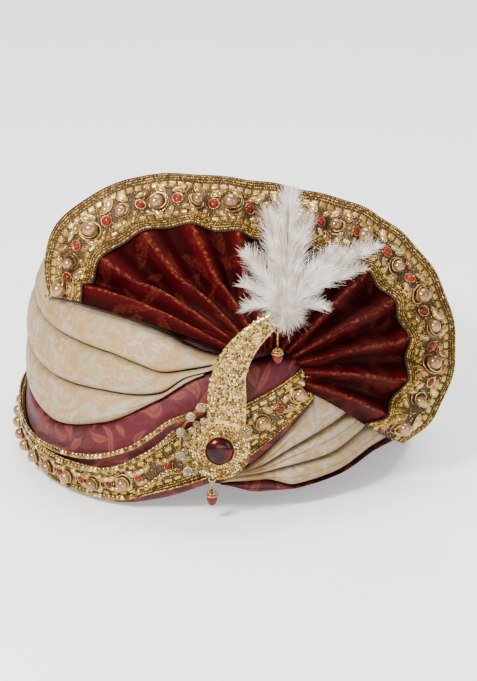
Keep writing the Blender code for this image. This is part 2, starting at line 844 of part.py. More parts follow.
# Profile of a drop's bead, and of its cap up to the wire and of the hollow inside it: (radius, height above
# the bead's middle), as shares of DROP_RADIUS
BEAD_PROFILE = ((0, -1.15), (0.7, -0.8), (1.0, -0.1), (0.92, 0.306), (0.5, 0.85), (0, 0.95))
CAP_OUTSIDE = ((1.12, 0.25), (1.12, 0.472), (0.9, 1.0), (0.244, 1.55), (0.153, 1.7))
CAP_INSIDE = ((0, 1.25), (0.62, 1.0), (1.02, 0.25))

# Section of the stem: (across as a share of its half width, forward as a share of BROOCH_THICKNESS)
STEM_SECTION = ((-1, 0), (1, 0), (1, 0.8), (0.5, 1.3), (-0.5, 1.3), (-1, 0.8))

# Heights of the round head's edge, of its bezel's foot and of its lip, as shares of BROOCH_THICKNESS
HEAD_EDGE, BEZEL_FOOT, BEZEL_LIP = 0.8, 1.5, 2.1

# Middle line and half width of the brooch's stem above the ruby: (x, z above the brooch's middle, half width)
STEM = (
    (4, 12, 13.0),
    (5, 33, 12.6),
    (6, 49, 11.4),
    (10.5, 62, 10.2),
    (18, 73, 8.6),
    (27, 82, 7.0),
    (37, 90, 5.2),
)

# Clear stones on the wire gallery left of the ruby, from the stem down: (x, z from the ruby's middle)
SIDE_STONES = ((-12.2, 30.0), (-19.0, 23.5), (-25.5, 13.0), (-26.0, -3.0), (-21.0, -13.5))

# Middles of the two eyes that the drops hang from: (x, z from the ruby's middle)
DROP_EYES = ((-5.0, -20.4), (38.1, 81.9))

# Where the gallery wire leaves the stem and where it runs into the plate's edge
GALLERY_ENDS = ((-4.0, 31.5), (-13.5, -13.0))


def brooch_point(x, z, forward):
    """A point of the brooch: x and z in its own plane from the ruby's middle, forward towards the viewer."""
    lean = math.radians(BROOCH_LEAN)
    front = BODY_HALF_DEPTH + LACE_GAP + LACE_THICKNESS + BROOCH_STANDOFF
    y = -front + z * math.sin(lean) - forward * math.cos(lean)
    return Vector((x, y, BROOCH_Z + z * math.cos(lean) + forward * math.sin(lean)))


def brooch_turn():
    lean = math.radians(BROOCH_LEAN)
    return facing(Vector((0, -math.cos(lean), math.sin(lean))), Vector((0, 0, 1)))


def stem_sections():
    sections = []
    for index, (x, z, half) in enumerate(STEM):
        before = STEM[max(index - 1, 0)]
        after = STEM[min(index + 1, len(STEM) - 1)]
        run = Vector((after[0] - before[0], after[1] - before[1])).normalized()
        side = Vector((run.y, -run.x)) * half
        section = []
        for share, forward in STEM_SECTION:
            along, up = (x + side.x * share) * MM, (z + side.y * share) * MM
            section.append(brooch_point(along, up, forward * BROOCH_THICKNESS))
        sections.append(section)
    return sections


def gallery_mesh():
    """The bent wire that carries the side stones from the stem round to the plate."""
    route = [GALLERY_ENDS[0], *SIDE_STONES, GALLERY_ENDS[1]]
    sections = []
    for index, (x, z) in enumerate(route):
        before, after = route[max(index - 1, 0)], route[min(index + 1, len(route) - 1)]
        run = Vector((after[0] - before[0], after[1] - before[1])).normalized()
        section = []
        for side in range(6):
            turned = 2 * math.pi * side / 6
            aside = GALLERY_RADIUS * math.cos(turned)
            forward = GALLERY_RADIUS * (1.2 + math.sin(turned))
            section.append(brooch_point(x * MM + run.y * aside, z * MM - run.x * aside, forward))
        sections.append(section)
    return loft("gallery", sections)


def build_brooch(finish):
    """The rhinestone plate: a round head with a bezel, a curved stem, a gallery wire, a pin and two eyes."""
    turn = brooch_turn()
    inner = RUBY_RADIUS + GAP
    outer = inner + BEZEL_WALL
    lip = BROOCH_THICKNESS * BEZEL_LIP
    profile = [(0, 0), (BROOCH_RADIUS, 0), (BROOCH_RADIUS, BROOCH_THICKNESS * HEAD_EDGE)]
    profile += [(outer, BROOCH_THICKNESS * BEZEL_FOOT), (outer, lip), (inner, lip)]
    profile += [(inner, BROOCH_THICKNESS), (0, BROOCH_THICKNESS)]
    head = placed(spun("brooch_head", profile, 20), brooch_point(0, 0, 0), turn)
    obj = add_object("brooch", head, finish, 35)
    stem = loft("stem", stem_sections())
    reach = BROOCH_STANDOFF - SEAT
    pin = spun("pin", [(PIN_RADIUS, -reach), (PIN_RADIUS, BROOCH_THICKNESS / 2)], 8)
    additions = [stem, gallery_mesh(), placed(pin, brooch_point(0, -PIN_RADIUS, 0), turn)]
    for x, z in DROP_EYES:
        middle = brooch_point(x * MM, z * MM, BROOCH_THICKNESS / 2)
        additions.append(placed(ring_mesh(EYE_RADIUS), middle, turn))
    return fuse(obj, additions)


def ring_mesh(radius, sides=10, wire_sides=5):
    """A wire ring round the Z axis."""
    points, faces = [], []
    for i in range(sides):
        turned = 2 * math.pi * i / sides
        for j in range(wire_sides):
            rolled = 2 * math.pi * j / wire_sides
            reach = radius + WIRE_RADIUS * math.cos(rolled)
            aside = WIRE_RADIUS * math.sin(rolled)
            points.append((reach * math.cos(turned), reach * math.sin(turned), aside))
    for i in range(sides):
        for j in range(wire_sides):
            a, b = i * wire_sides + j, i * wire_sides + (j + 1) % wire_sides
            c, d = ((i + 1) % sides) * wire_sides + (j + 1) % wire_sides, ((i + 1) % sides) * wire_sides + j
            faces.append((a, b, c, d))
    return mesh_of("ring", points, faces)


def build_drop(name, eye, length, cap_finish, bead_finish):
    """A red bead in a filigree cap, on a wire that ends in a ring through the brooch's eye."""
    ring_radius = EYE_RADIUS
    across = Matrix.Rotation(math.radians(90), 3, "Y")
    eye_middle = brooch_point(eye[0] * MM, eye[1] * MM, BROOCH_THICKNESS / 2)
    ring_middle = eye_middle - Vector((0, 0, ring_radius + EYE_RADIUS - 2 * WIRE_RADIUS - GAP))
    ring = placed(ring_mesh(ring_radius), ring_middle, across)
    bead_middle = ring_middle + Vector((0, 0, -length))
    wire_top = length - ring_radius
    wire = [(WIRE_RADIUS, wire_top), (WIRE_RADIUS / 2, wire_top + WIRE_RADIUS / 2)]
    inside = scaled(CAP_INSIDE, DROP_RADIUS, DROP_RADIUS)
    outside = scaled(CAP_OUTSIDE, DROP_RADIUS, DROP_RADIUS)
    hanger = placed(spun("hanger", inside + outside + wire, 10), bead_middle, Matrix.Identity(3))
    metal = add_object(f"{name}_cap", hanger, cap_finish, 40)
    fuse(metal, [ring])
    bead = spun("bead", scaled(BEAD_PROFILE, DROP_RADIUS, DROP_RADIUS), 10)
    stone = add_object(f"{name}_bead", bead, bead_finish, 50)
    stone.location = bead_middle
    return metal, stone


def build_ruby(finish):
    """The large red stone: a table, two rings of facets and a narrow foot."""
    profile = scaled(RUBY_CUT, RUBY_RADIUS, RUBY_RADIUS)
    base = brooch_point(0, 0, BROOCH_THICKNESS + GAP)
    return add_object("ruby", placed(spun("ruby", profile, 12), base, brooch_turn()), finish)


def side_stone_centre(index):
    x, z = SIDE_STONES[index]
    sunk = SIDE_STONE_RADIUS / 2
    return brooch_point(x * MM, z * MM, GALLERY_RADIUS * 2.2 + GAP + sunk)


def build_side_stones(finish):
    made = []
    rise = SIDE_STONE_RADIUS * SIDE_STONE_RISE
    for index in range(len(SIDE_STONES)):
        stone = cut_stone("side", SIDE_STONE_RADIUS, rise, SIDE_STONE_RADIUS / 2)
        stone = placed(stone, side_stone_centre(index), brooch_turn())
        made.append(add_object(f"side_stone_{index + 1}", stone, finish))
    return made


# The side stone that each chain starts at, counted from the stem down
CHAIN_STONES = {"chain_upper": 2, "chain_middle": 3, "chain_lower": 5}

# Each chain's way round to the back: (azimuth, height in mm)
CHAIN_ROUTES = {
    "chain_upper": (
        (12, 66), (16, 56), (22, 44), (34, 32), (46, 28), (62, 26), (75, 26.5), (90, 29.5), (178, 31),
    ),
    "chain_middle": (
        (14, 50), (18.5, 40), (28, 26), (37, 22.5), (54, 20.3), (75, 21.5), (90, 24.5), (178, 26.3),
    ),
    "chain_lower": (
        (12, 32), (14.5, 26), (19, 15), (23, 8), (30, 5.4), (54, 5.0), (90, 5.2), (178, 5.2),
    ),
}


def build_chain(name, finish):
    """A rhinestone chain from its side stone down on to the wrap and round, made as a plain tube."""
    rows = CHAIN_ROUTES[name]
    start = side_stone_centre(CHAIN_STONES[name] - 1) - Vector((SIDE_STONE_RADIUS + SEAT, 0, 0))
    first = math.degrees(math.atan2(-start.x, -start.y))
    height = curve_through([(first, start.z / MM), *rows])
    last = rows[-1][0]
    rest = LACE_GAP + LACE_THICKNESS + SEAT + CHAIN_RADIUS
    proud = math.hypot(start.x, start.y) - maroon_radius(first, start.z) - rest
    curve = bpy.data.curves.new(name, "CURVE")
    curve.dimensions = "3D"
    spline = curve.splines.new("POLY")
    spline.points.add(CHAIN_POINTS - 1)
    for index in range(CHAIN_POINTS):
        azimuth = first + (last - first) * (index / (CHAIN_POINTS - 1)) ** CHAIN_CROWDING
        z = height(azimuth) * MM
        lead = max(0.0, 1 - (azimuth - first) / CHAIN_LEAD)
        point = around(azimuth, maroon_radius(azimuth, z) + rest + proud * lead**2, z)
        spline.points[index].co = (*point, 1.0)
    curve.bevel_depth = CHAIN_RADIUS
    curve.bevel_resolution = 1
    curve.use_fill_caps = True
    curve.materials.append(finish)
    obj = bpy.data.objects.new(name, curve)
    bpy.context.scene.collection.objects.link(obj)
    return obj


def build_clasp(finish):
    """The plain plate behind the turban on which the chains end."""
    heights = np.linspace(*CLASP_HEIGHTS, 7) * MM
    low = LACE_GAP + LACE_THICKNESS + SEAT
    high = low + 2 * CHAIN_RADIUS
    sections = []
    for azimuth in (CLASP_START, CLASP_START + CLASP_SPAN / 2, CLASP_START + CLASP_SPAN):
        inner = [around(azimuth, maroon_radius(azimuth, z) + low, z) for z in heights]
        outer = [around(azimuth, maroon_radius(azimuth, z) + high, z) for z in heights[::-1]]
        sections.append(inner + outer)
    return add_object("chain_clasp", loft("chain_clasp", sections), finish, 40)


# How a lock of the plume swells, (share of its length, share of its width), and its thickness as a share of
# its width
LOCK_SWELL = ((0.02, 0.55), (0.35, 1.0), (0.75, 0.9), (1.0, 0.22))
LOCK_FLATNESS = 0.22

# Locks: (lean to the side in degrees, length as a share of PLUME_HEIGHT, width in mm, lean back in degrees)
LOCKS = (
    (2, 1.00, 15, 20),
    (-9, 0.84, 13, 22),
    (13, 0.80, 12, 20),
    (50, 0.93, 12, 20),
    (57, 0.74, 10, 18),
    (38, 0.66, 12, 16),
    (-32, 0.58, 12, 16),
    (-54, 0.42, 10, 8),
    (-80, 0.34, 9, 6),
    (80, 0.34, 9, 6),
)


def build_plume(finish):
    """White down and feather tips, as curved locks on a round head that sits on the tip of the stem."""
    before, tip = Vector(STEM[-2][:2]) * MM, Vector(STEM[-1][:2]) * MM
    middle = tip + (tip - before).normalized() * (PLUME_HEAD_RADIUS + SEAT)
    root = brooch_point(middle.x, middle.y, BROOCH_THICKNESS / 2)
    head = placed(ball("plume", PLUME_HEAD_RADIUS, 10), root, Matrix.Identity(3))
    obj = add_object("plume", head, finish, 60)
    locks = []
    for side, share, width, backward in LOCKS:
        length = share * PLUME_HEIGHT
        sections = []
        for step, swell in LOCK_SWELL:
            lean = math.radians(side) * (0.75 + 0.35 * step)
            back = math.radians(backward) * (0.5 + 0.7 * step)
            run = Vector((math.sin(lean), math.cos(lean) * math.sin(back), math.cos(lean) * math.cos(back)))
            across = run.cross(Vector((0, -1, 0))).normalized() * width * MM * swell / 2
            thick = across.cross(run).normalized() * width * MM * swell * LOCK_FLATNESS
            middle = root + run * length * step
            sections.append([middle + across, middle + thick, middle - across, middle - thick])
        locks.append(loft("lock", sections))
    return fuse(obj, locks)


def centre_on_base():
    """Moves everything so that the origin is the middle of the whole turban's base."""
    graph = bpy.context.evaluated_depsgraph_get()
    points = []
    for obj in bpy.data.objects:
        if not obj.hide_render:
            shown = obj.evaluated_get(graph)
            points += [shown.matrix_world @ vertex.co for vertex in shown.to_mesh().vertices]
            shown.to_mesh_clear()
    low, high = np.min(points, axis=0), np.max(points, axis=0)
    middle = Vector(((low[0] + high[0]) / 2, (low[1] + high[1]) / 2, low[2]))
    for obj in bpy.data.objects:
        obj.location -= middle


def main():
    for obj in list(bpy.data.objects):
        bpy.data.objects.remove(obj)
    maroon = material("maroon_brocade", (0.22, 0.012, 0.030), 0.5)
    dark = material("maroon_silk", (0.15, 0.008, 0.018), 0.45)
    cream = material("cream_brocade", (0.62, 0.50, 0.33), 0.5)
    lace = material("gold_lace", (0.60, 0.40, 0.13), 0.4, 0.6)
    pearl = material("pearl", (0.72, 0.50, 0.34), 0.25)
    gold = material("rhinestone_gold", (0.75, 0.58, 0.28), 0.3, 0.9)
    clear = material("clear_stone", (0.75, 0.70, 0.55), 0.1)
    red = material("red_stone", (0.35, 0.01, 0.03), 0.1)
    white = material("white_down", (0.88, 0.84, 0.78), 0.8)
    build_crown(maroon)
    build_maroon_wrap(maroon)
    for index, (start, end) in enumerate(CREAM_RUNS):
        build_cream_fold(index + 1, start, end, cream)
    build_band(lace)
    build_band_pearls(pearl)
    build_fan(dark)
    build_fan_lace(lace)
    build_fan_pearls(pearl)
    build_brooch(gold)
    build_ruby(red)
    build_side_stones(clear)
    build_drop("lower_drop", DROP_EYES[0], LOWER_DROP, gold, red)
    build_drop("upper_drop", DROP_EYES[1], UPPER_DROP, gold, red)
    for name in CHAIN_ROUTES:
        build_chain(name, gold)
    build_clasp(gold)
    build_plume(white)
    centre_on_base()


main()
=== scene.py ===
# %% [markdown]
# # Dressing a tied wedding turban
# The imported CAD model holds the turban's true sizes as plain facets. This notebook covers it with wound
# cloth, a pleated fan, jewelled lace, pearls, a rhinestone brooch and a plume. Everything is placed in the
# CAD's own frame, in metres: the front looks along -Y and the table is at z = 0.

# %% Load the CAD frame
import math

import bpy
import numpy as np
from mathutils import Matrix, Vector


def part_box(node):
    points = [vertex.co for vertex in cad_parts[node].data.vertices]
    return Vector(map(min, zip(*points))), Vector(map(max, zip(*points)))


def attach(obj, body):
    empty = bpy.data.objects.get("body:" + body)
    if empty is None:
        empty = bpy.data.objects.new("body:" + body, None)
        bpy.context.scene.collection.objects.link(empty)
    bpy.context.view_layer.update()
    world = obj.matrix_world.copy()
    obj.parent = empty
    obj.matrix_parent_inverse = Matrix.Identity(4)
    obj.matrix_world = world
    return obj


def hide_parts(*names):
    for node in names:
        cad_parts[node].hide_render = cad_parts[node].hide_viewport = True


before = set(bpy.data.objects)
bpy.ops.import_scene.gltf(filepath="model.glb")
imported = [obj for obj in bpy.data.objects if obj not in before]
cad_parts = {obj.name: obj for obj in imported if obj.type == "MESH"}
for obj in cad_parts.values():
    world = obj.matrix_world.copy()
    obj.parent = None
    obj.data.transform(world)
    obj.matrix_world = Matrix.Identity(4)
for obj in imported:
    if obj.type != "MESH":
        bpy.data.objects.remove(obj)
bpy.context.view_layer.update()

MM = 0.001
crown_low, crown_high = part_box("crown")
AXIS = np.array([(crown_low.x + crown_high.x) / 2, (crown_low.y + crown_high.y) / 2, 0.0])
print("head axis at", [round(float(v) / MM, 1) for v in AXIS], "mm, nodes:", len(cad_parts))

# %% [markdown]
# ## Camera
# A product photo is taken from far away with a long lens, so that nothing bulges. The camera here looks down
# by 20 degrees from nine metres, and the lens makes 456 mm fill the long side of the picture.

# %% Camera
CAMERA_ELEVATION = 20.0
CAMERA_DISTANCE = 9.0
FRAMED_HEIGHT = 456 * MM
LOOK_AT = Vector((3.4 * MM, 5.3 * MM, 66 * MM))


def aimed(name, data, place, aim):
    """A camera or a light in the scene, turned to look at a point."""
    made = bpy.data.objects.new(name, data)
    made.location = place
    made.rotation_euler = (aim - made.location).to_track_quat("-Z", "Y").to_euler()
    bpy.context.scene.collection.objects.link(made)
    return made


camera_data = bpy.data.cameras.new("camera")
camera_data.sensor_width = 36.0
camera_data.lens = camera_data.sensor_width * CAMERA_DISTANCE / FRAMED_HEIGHT
tilt = math.radians(CAMERA_ELEVATION)
back_and_up = Vector((0, -math.cos(tilt), math.sin(tilt)))
bpy.context.scene.camera = aimed("camera", camera_data, LOOK_AT + back_and_up * CAMERA_DISTANCE, LOOK_AT)
print("lens", round(camera_data.lens, 1), "mm")

# %% [markdown]
# ## Soft studio light
# Satin and stones both need large lights: a wide one gives cloth a slow gradient, and shows in a pearl as a
# clean bright crescent. A white world fills the shadows, as a light tent would.

# %% Lights
LIGHTS_AIM = Vector((0, 0, 90 * MM))
TENT_COLOUR, TENT_STRENGTH = (0.93, 0.94, 0.96, 1), 0.85
# name, place, power in watts, width and height in metres, colour
AREA_LIGHTS = (
    ("key", (-0.80, -1.05, 1.20), 62, 0.5, 0.4, (1.0, 0.97, 0.92)),
    ("fill", (1.15, -0.95, 0.6), 8, 0.6, 0.8, (0.96, 0.98, 1.0)),
    ("top", (0.1, 0.45, 1.5), 30, 0.9, 0.6, (1, 1, 1)),
    ("low_front", (0.2, -1.5, 0.25), 4, 0.9, 0.2, (1, 1, 1)),
)
for name, place, power, width, height, colour in AREA_LIGHTS:
    data = bpy.data.lights.new(name, "AREA")
    data.shape = "RECTANGLE"
    data.size, data.size_y = width, height
    data.energy, data.color = power, colour
    aimed(name, data, place, LIGHTS_AIM)
world = bpy.data.worlds.new("tent")
world.use_nodes = True
tent = world.node_tree.nodes["Background"].inputs
tent["Color"].default_value, tent["Strength"].default_value = TENT_COLOUR, TENT_STRENGTH
bpy.context.scene.world = world
print(len(AREA_LIGHTS), "lights")

# %% [markdown]
# ## Shape functions
# The cloth has to lie where the CAD solids are, so this part repeats the same tables and formulas: an oval
# plan, a wall that closes over the crown, a spiral of folds, and a fan pushed clear of the folds. They work
# on whole arrays of points at once, which is what makes a fine mesh quick to compute.

# %% Sizes and tables shared with the CAD
BODY_HALF_WIDTH, BODY_HALF_DEPTH = 130 * MM, 155 * MM
WRAP_HEIGHT, WRAP_THICKNESS, FOLD_DEPTH = 120 * MM, 20 * MM, 5 * MM
PLAN_POWER_LEFT, PLAN_POWER_RIGHT = 2.4, 2.0
CROWN_HEIGHT, CROWN_SHOULDER, CROWN_POWER = 142 * MM, 96 * MM, 2.2
HEAD_HALF_WIDTH, HEAD_HALF_DEPTH = 86 * MM, 100 * MM
HEAD_HEIGHT, HEAD_SHOULDER = 118 * MM, 55 * MM
GAP, SEAT = 0.3 * MM, 0.5 * MM
LACE_THICKNESS, LACE_GAP = 1.5 * MM, 0.85 * MM
FAN_LACE_WIDTH, FAN_LACE_MARGIN = 38 * MM, 1.5 * MM
FAN_THICKNESS, FAN_REACH, FAN_BACK, FAN_BULGE = 2.0 * MM, 130 * MM, 88 * MM, 7 * MM
FAN_CENTRE = np.array([28 * MM, 23 * MM - BODY_HALF_DEPTH, 85 * MM])
PLEAT_DEPTH, FAN_CLEARANCE, NORMAL_SPAN = 5.5 * MM, 1.2 * MM, 9.0
PUSH_CENTRE = np.array([0, 0, -WRAP_HEIGHT / 6])
# height and radius of the wall, as shares of WRAP_HEIGHT and of the plan
WALL = (
    (0.00, 0.975), (0.12, 0.995), (0.25, 1.000), (0.60, 1.000), (0.76, 0.985), (0.88, 0.955),
    (0.98, 0.915), (1.06, 0.855), (1.12, 0.770), (1.16, 0.600), (1.1834, 0.000),
)
# azimuth and height of the edges, as shares of WRAP_HEIGHT
MAROON_LOW = (
    (-25, 0.600), (-18, 0.460), (-10, 0.310), (-4, 0.230), (4, 0.155), (17, 0.050), (28, 0.000),
    (272, 0.000), (285, 0.090), (300, 0.170), (312, 0.190), (327, 0.135), (345, 0.110), (350, 0.110),
)
MAROON_TOP = (
    (-25, 0.860), (-18, 0.860), (-5, 0.830), (4, 0.800), (8, 0.755), (15, 0.650), (31, 0.450),
    (54, 0.335), (90, 0.340), (180, 0.330), (225, 0.310), (272, 0.235), (285, 0.220), (300, 0.230),
    (312, 0.235), (327, 0.175), (345, 0.180), (360, 0.180),
)
CREAM_TOPS = (
    (-6, 0.880, 0.900, 0.860), (3, 0.815, 0.840, 0.890), (8, 0.785, 0.815, 0.920),
    (15, 0.680, 0.790, 0.970), (22, 0.650, 0.820, 1.000), (31, 0.640, 0.850, 1.020),
    (42, 0.620, 0.855, 1.015), (54, 0.605, 0.850, 1.010), (75, 0.600, 0.845, 1.000),
    (90, 0.585, 0.830, 1.000), (135, 0.570, 0.800, 0.990), (180, 0.560, 0.785, 0.980),
    (225, 0.540, 0.770, 0.980), (272, 0.460, 0.700, 0.975), (300, 0.400, 0.620, 0.965),
    (312, 0.350, 0.520, 0.960), (320, 0.305, 0.465, 0.945), (330, 0.248, 0.405, 0.800),
    (342, 0.235, 0.330, 0.800), (350, 0.222, 0.262, 0.800), (360, 0.210, 0.225, 0.800),
)
RIM_LIFT = (
    (0, 0.120), (5, 0.130), (17, 0.050), (28, 0.000), (272, 0.000), (285, 0.090),
    (300, 0.170), (312, 0.190), (327, 0.135), (345, 0.110), (360, 0.120),
)
BAND = (
    (-25, 0.655, 0.850), (-15, 0.475, 0.735), (-5, 0.310, 0.640), (5, 0.200, 0.545), (17, 0.105, 0.350),
    (24, 0.045, 0.265), (31, 0.020, 0.215), (54, 0.018, 0.190), (75, 0.018, 0.200), (90, 0.020, 0.225),
    (180, 0.020, 0.240), (240, 0.020, 0.235),
)
# angle round the fan's centre, reach, distance back and root, as shares
FAN_RIM = (
    (-33, 0.87, 0.54, 0.44), (-20, 0.96, 0.65, 0.38), (-3, 1.00, 0.84, 0.31), (15, 0.98, 0.92, 0.27),
    (35, 0.93, 0.98, 0.24), (57, 0.87, 1.00, 0.23), (76, 0.83, 1.00, 0.22), (94, 0.86, 0.99, 0.18),
    (110, 0.95, 0.97, 0.16), (130, 1.13, 0.91, 0.17), (150, 1.24, 0.82, 0.20), (168, 1.12, 0.84, 0.25),
)
PLEATS = (
    (-24, 0.9), (-9, 1.0), (7, 1.0), (23, 1.0), (39, 1.0), (53, 1.2), (69, 0.9), (85, 1.0), (101, 1.0),
    (118, 1.1), (133, 1.0), (147, 1.0), (160, 0.8),
)
PLEAT_SWELL = ((0.0, 0.10), (0.20, 0.25), (0.35, 0.70), (0.50, 1.0), (0.75, 0.80), (1.0, 0.50))
print("tables for", len(PLEATS), "pleats and", len(CREAM_TOPS[0]) - 1, "cream folds")

# %% A smooth curve through a table
def curve_through(rows, column=1):
    """A smooth curve through one column of a table, which never overshoots a row."""
    ordered = sorted(rows)
    keys = np.array([row[0] for row in ordered], float)
    values = np.array([row[column] for row in ordered], float)
    slopes = np.diff(values) / np.diff(keys)
    tangents = np.zeros_like(values)
    tangents[0], tangents[-1] = slopes[0], slopes[-1]
    for i in range(1, len(values) - 1):
        if slopes[i - 1] * slopes[i] > 0:
            tangents[i] = 2 * slopes[i - 1] * slopes[i] / (slopes[i - 1] + slopes[i])

    def at(key):
        key = np.clip(np.asarray(key, float), keys[0], keys[-1])
        i = np.clip(np.searchsorted(keys, key) - 1, 0, len(keys) - 2)
        span = keys[i + 1] - keys[i]
        u = (key - keys[i]) / span
        start = (2 * u**3 - 3 * u**2 + 1) * values[i] + (u**3 - 2 * u**2 + u) * span * tangents[i]
        return start + (3 * u**2 - 2 * u**3) * values[i + 1] + (u**3 - u**2) * span * tangents[i + 1]

    return at


def smooth_step(value):
    value = np.clip(value, 0, 1)
    return value * value * (3 - 2 * value)


wall_share = curve_through(WALL)
maroon_low_share, maroon_top_share = curve_through(MAROON_LOW), curve_through(MAROON_TOP)
cream_top_shares = [curve_through(CREAM_TOPS, column) for column in (1, 2, 3)]
rim_lift_share = curve_through(RIM_LIFT)
band_low_share, band_high_share = curve_through(BAND, 1), curve_through(BAND, 2)
fan_reach_share, fan_back_share, fan_root_share = (curve_through(FAN_RIM, column) for column in (1, 2, 3))
pleat_swell = curve_through(PLEAT_SWELL)

# %% The wound body
def plan_radius(azimuth, half_width, half_depth):
    """Distance from the head axis to the oval outline in this direction."""
    turned = np.radians(azimuth)
    left_front = (np.sin(turned) > 0) & (np.cos(turned) >= 0)
    power = np.where(left_front, PLAN_POWER_LEFT, PLAN_POWER_RIGHT)
    across = (np.abs(np.sin(turned)) / half_width) ** power
    along = (np.abs(np.cos(turned)) / half_depth) ** power
    return (across + along) ** (-1 / power)


def around(azimuth, radius, z):
    turned = np.radians(azimuth)
    return np.stack(np.broadcast_arrays(-np.sin(turned) * radius, -np.cos(turned) * radius, z), -1)


def body_radius(azimuth, z):
    return plan_radius(azimuth, BODY_HALF_WIDTH, BODY_HALF_DEPTH) * wall_share(z / WRAP_HEIGHT)


def crown_radius(azimuth, z):
    rise = np.clip((z - CROWN_SHOULDER) / (CROWN_HEIGHT - CROWN_SHOULDER), 0, 1)
    plan = plan_radius(azimuth, BODY_HALF_WIDTH - WRAP_THICKNESS, BODY_HALF_DEPTH - WRAP_THICKNESS)
    return plan * (1 - rise**CROWN_POWER) ** (1 / CROWN_POWER)


def head_radius(azimuth, z):
    rise = np.clip((z - HEAD_SHOULDER) / (HEAD_HEIGHT - HEAD_SHOULDER), 0, 1)
    return plan_radius(azimuth, HEAD_HALF_WIDTH, HEAD_HALF_DEPTH) * np.sqrt(1 - rise**2)


def maroon_low(azimuth):
    return maroon_low_share(azimuth) * WRAP_HEIGHT


def maroon_top(azimuth):
    return maroon_top_share(azimuth) * WRAP_HEIGHT


def maroon_radius(azimuth, z):
    """Outer radius of the maroon wrap, a little drawn in at both of its edges."""
    low, high = maroon_low(azimuth), maroon_top(azimuth)
    across = np.clip((z - low) / (high - low), 0, 1)
    return body_radius(azimuth, z) - FOLD_DEPTH / 2 * np.abs(2 * across - 1) ** 3


def cream_edge(layer, azimuth):
    """Height of the edge above cream fold number layer; layer 0 is the top of the maroon wrap."""
    top = maroon_top(azimuth) if layer == 0 else cream_top_shares[layer - 1](azimuth) * WRAP_HEIGHT
    under = np.minimum(top, maroon_low(azimuth - 360) - GAP)
    return np.where(azimuth >= MAROON_LOW[0][0] + 360, under, top)


print("widest radius", round(float(body_radius(90.0, 0.05)) / MM, 1), "mm")

# %% The fan
HALVINGS, FARTHEST_PUSH = 22, 3.0


def outside_body(points, clearance):
    """Points inside the wound body, moved out along rays from below the head until they are clear."""
    away = points - PUSH_CENTRE

    def depth(scale):
        at = PUSH_CENTRE + away * scale[..., None]
        azimuth = np.degrees(np.arctan2(-at[..., 0], -at[..., 1])) % 360
        reach = np.hypot(at[..., 0], at[..., 1]) - body_radius(azimuth, np.maximum(at[..., 2], 0))
        return np.where(at[..., 2] >= WALL[-1][0] * WRAP_HEIGHT, 1.0, reach - clearance)

    low = np.ones(points.shape[:-1])
    high = low * FARTHEST_PUSH
    inside = depth(low) < 0
    for _ in range(HALVINGS):
        middle = (low + high) / 2
        deep = depth(middle) < 0
        low, high = np.where(deep, middle, low), np.where(deep, high, middle)
    return np.where(inside[..., None], PUSH_CENTRE + away * high[..., None], points)


def rim_point(angle):
    turned = np.radians(angle)
    reach, back = fan_reach_share(angle) * FAN_REACH, fan_back_share(angle) * FAN_BACK
    return FAN_CENTRE + np.stack([reach * np.cos(turned), back, reach * np.sin(turned)], -1)


def fan_smooth(angle, share):
    """The fan without its pleats, at an angle round its centre and a share of the way to the rim."""
    share = np.asarray(share, float)
    point = FAN_CENTRE + (rim_point(angle) - FAN_CENTRE) * share[..., None]
    point = point + np.stack([0 * share, -FAN_BULGE * np.sin(np.pi * share), 0 * share], -1)
    return outside_body(point, PLEAT_DEPTH * pleat_swell(share) + FAN_THICKNESS / 2 + FAN_CLEARANCE)


def unit(vectors):
    return vectors / np.maximum(np.linalg.norm(vectors, axis=-1, keepdims=True), 1e-12)


def fan_normal(angle, share):
    across = fan_smooth(angle + NORMAL_SPAN, share) - fan_smooth(angle - NORMAL_SPAN, share)
    return unit(np.cross(fan_smooth(angle, share * 1.1) - fan_smooth(angle, share * 0.9), across))


RIDGES = np.array([row[0] for row in PLEATS], float)
RIDGE_DEPTHS = np.array([row[1] for row in PLEATS])
FAN_START, FAN_END = float(FAN_RIM[0][0]), float(FAN_RIM[-1][0])
VALLEYS = np.concatenate([[FAN_START], (RIDGES[1:] + RIDGES[:-1]) / 2, [FAN_END]])
RIDGE_SHARPNESS, RIDGE_POWER, LACE_SPAN = 0.55, 1.6, 0.4
# how much of the pleats' depth the lace takes away at the rim, and from which share of the reach on
RIM_HOLD, RIM_HELD_FROM = 0.7, 0.80


def pleat_run(angle):
    """How far a pleat has risen, from 0 in its valley to 1 on its ridge, and its depth."""
    i = np.clip(np.searchsorted(VALLEYS, angle) - 1, 0, len(RIDGES) - 1)
    left, right, ridge = VALLEYS[i], VALLEYS[i + 1], RIDGES[i]
    run = np.where(angle < ridge, (angle - left) / (ridge - left), (right - angle) / (right - ridge))
    return np.clip(run, 0, 1), RIDGE_DEPTHS[i]


def fan_point(angle, share, height=0.0):
    """A point on the pleated cloth, height above its middle surface; the lace holds the rim nearly flat."""
    run, depth = pleat_run(angle)
    share = np.asarray(share, float)
    depth = depth * (1 - RIM_HOLD * smooth_step((share - RIM_HELD_FROM) / (1 - RIM_HELD_FROM)))
    sharp = RIDGE_SHARPNESS * np.clip((1 - share) / LACE_SPAN, 0, 1)
    rise = (1 - sharp) * (1 - np.cos(np.pi * run)) / 2 + sharp * run**RIDGE_POWER
    lift = PLEAT_DEPTH * pleat_swell(share) * (2 * depth * rise - 1) + height
    return fan_smooth(angle, share) + fan_normal(angle, share) * lift[..., None]


def lace_share(angle, inset):
    """Share of the fan's reach at a distance in from its rim."""
    return 1 - inset / np.linalg.norm(rim_point(angle) - FAN_CENTRE, axis=-1)


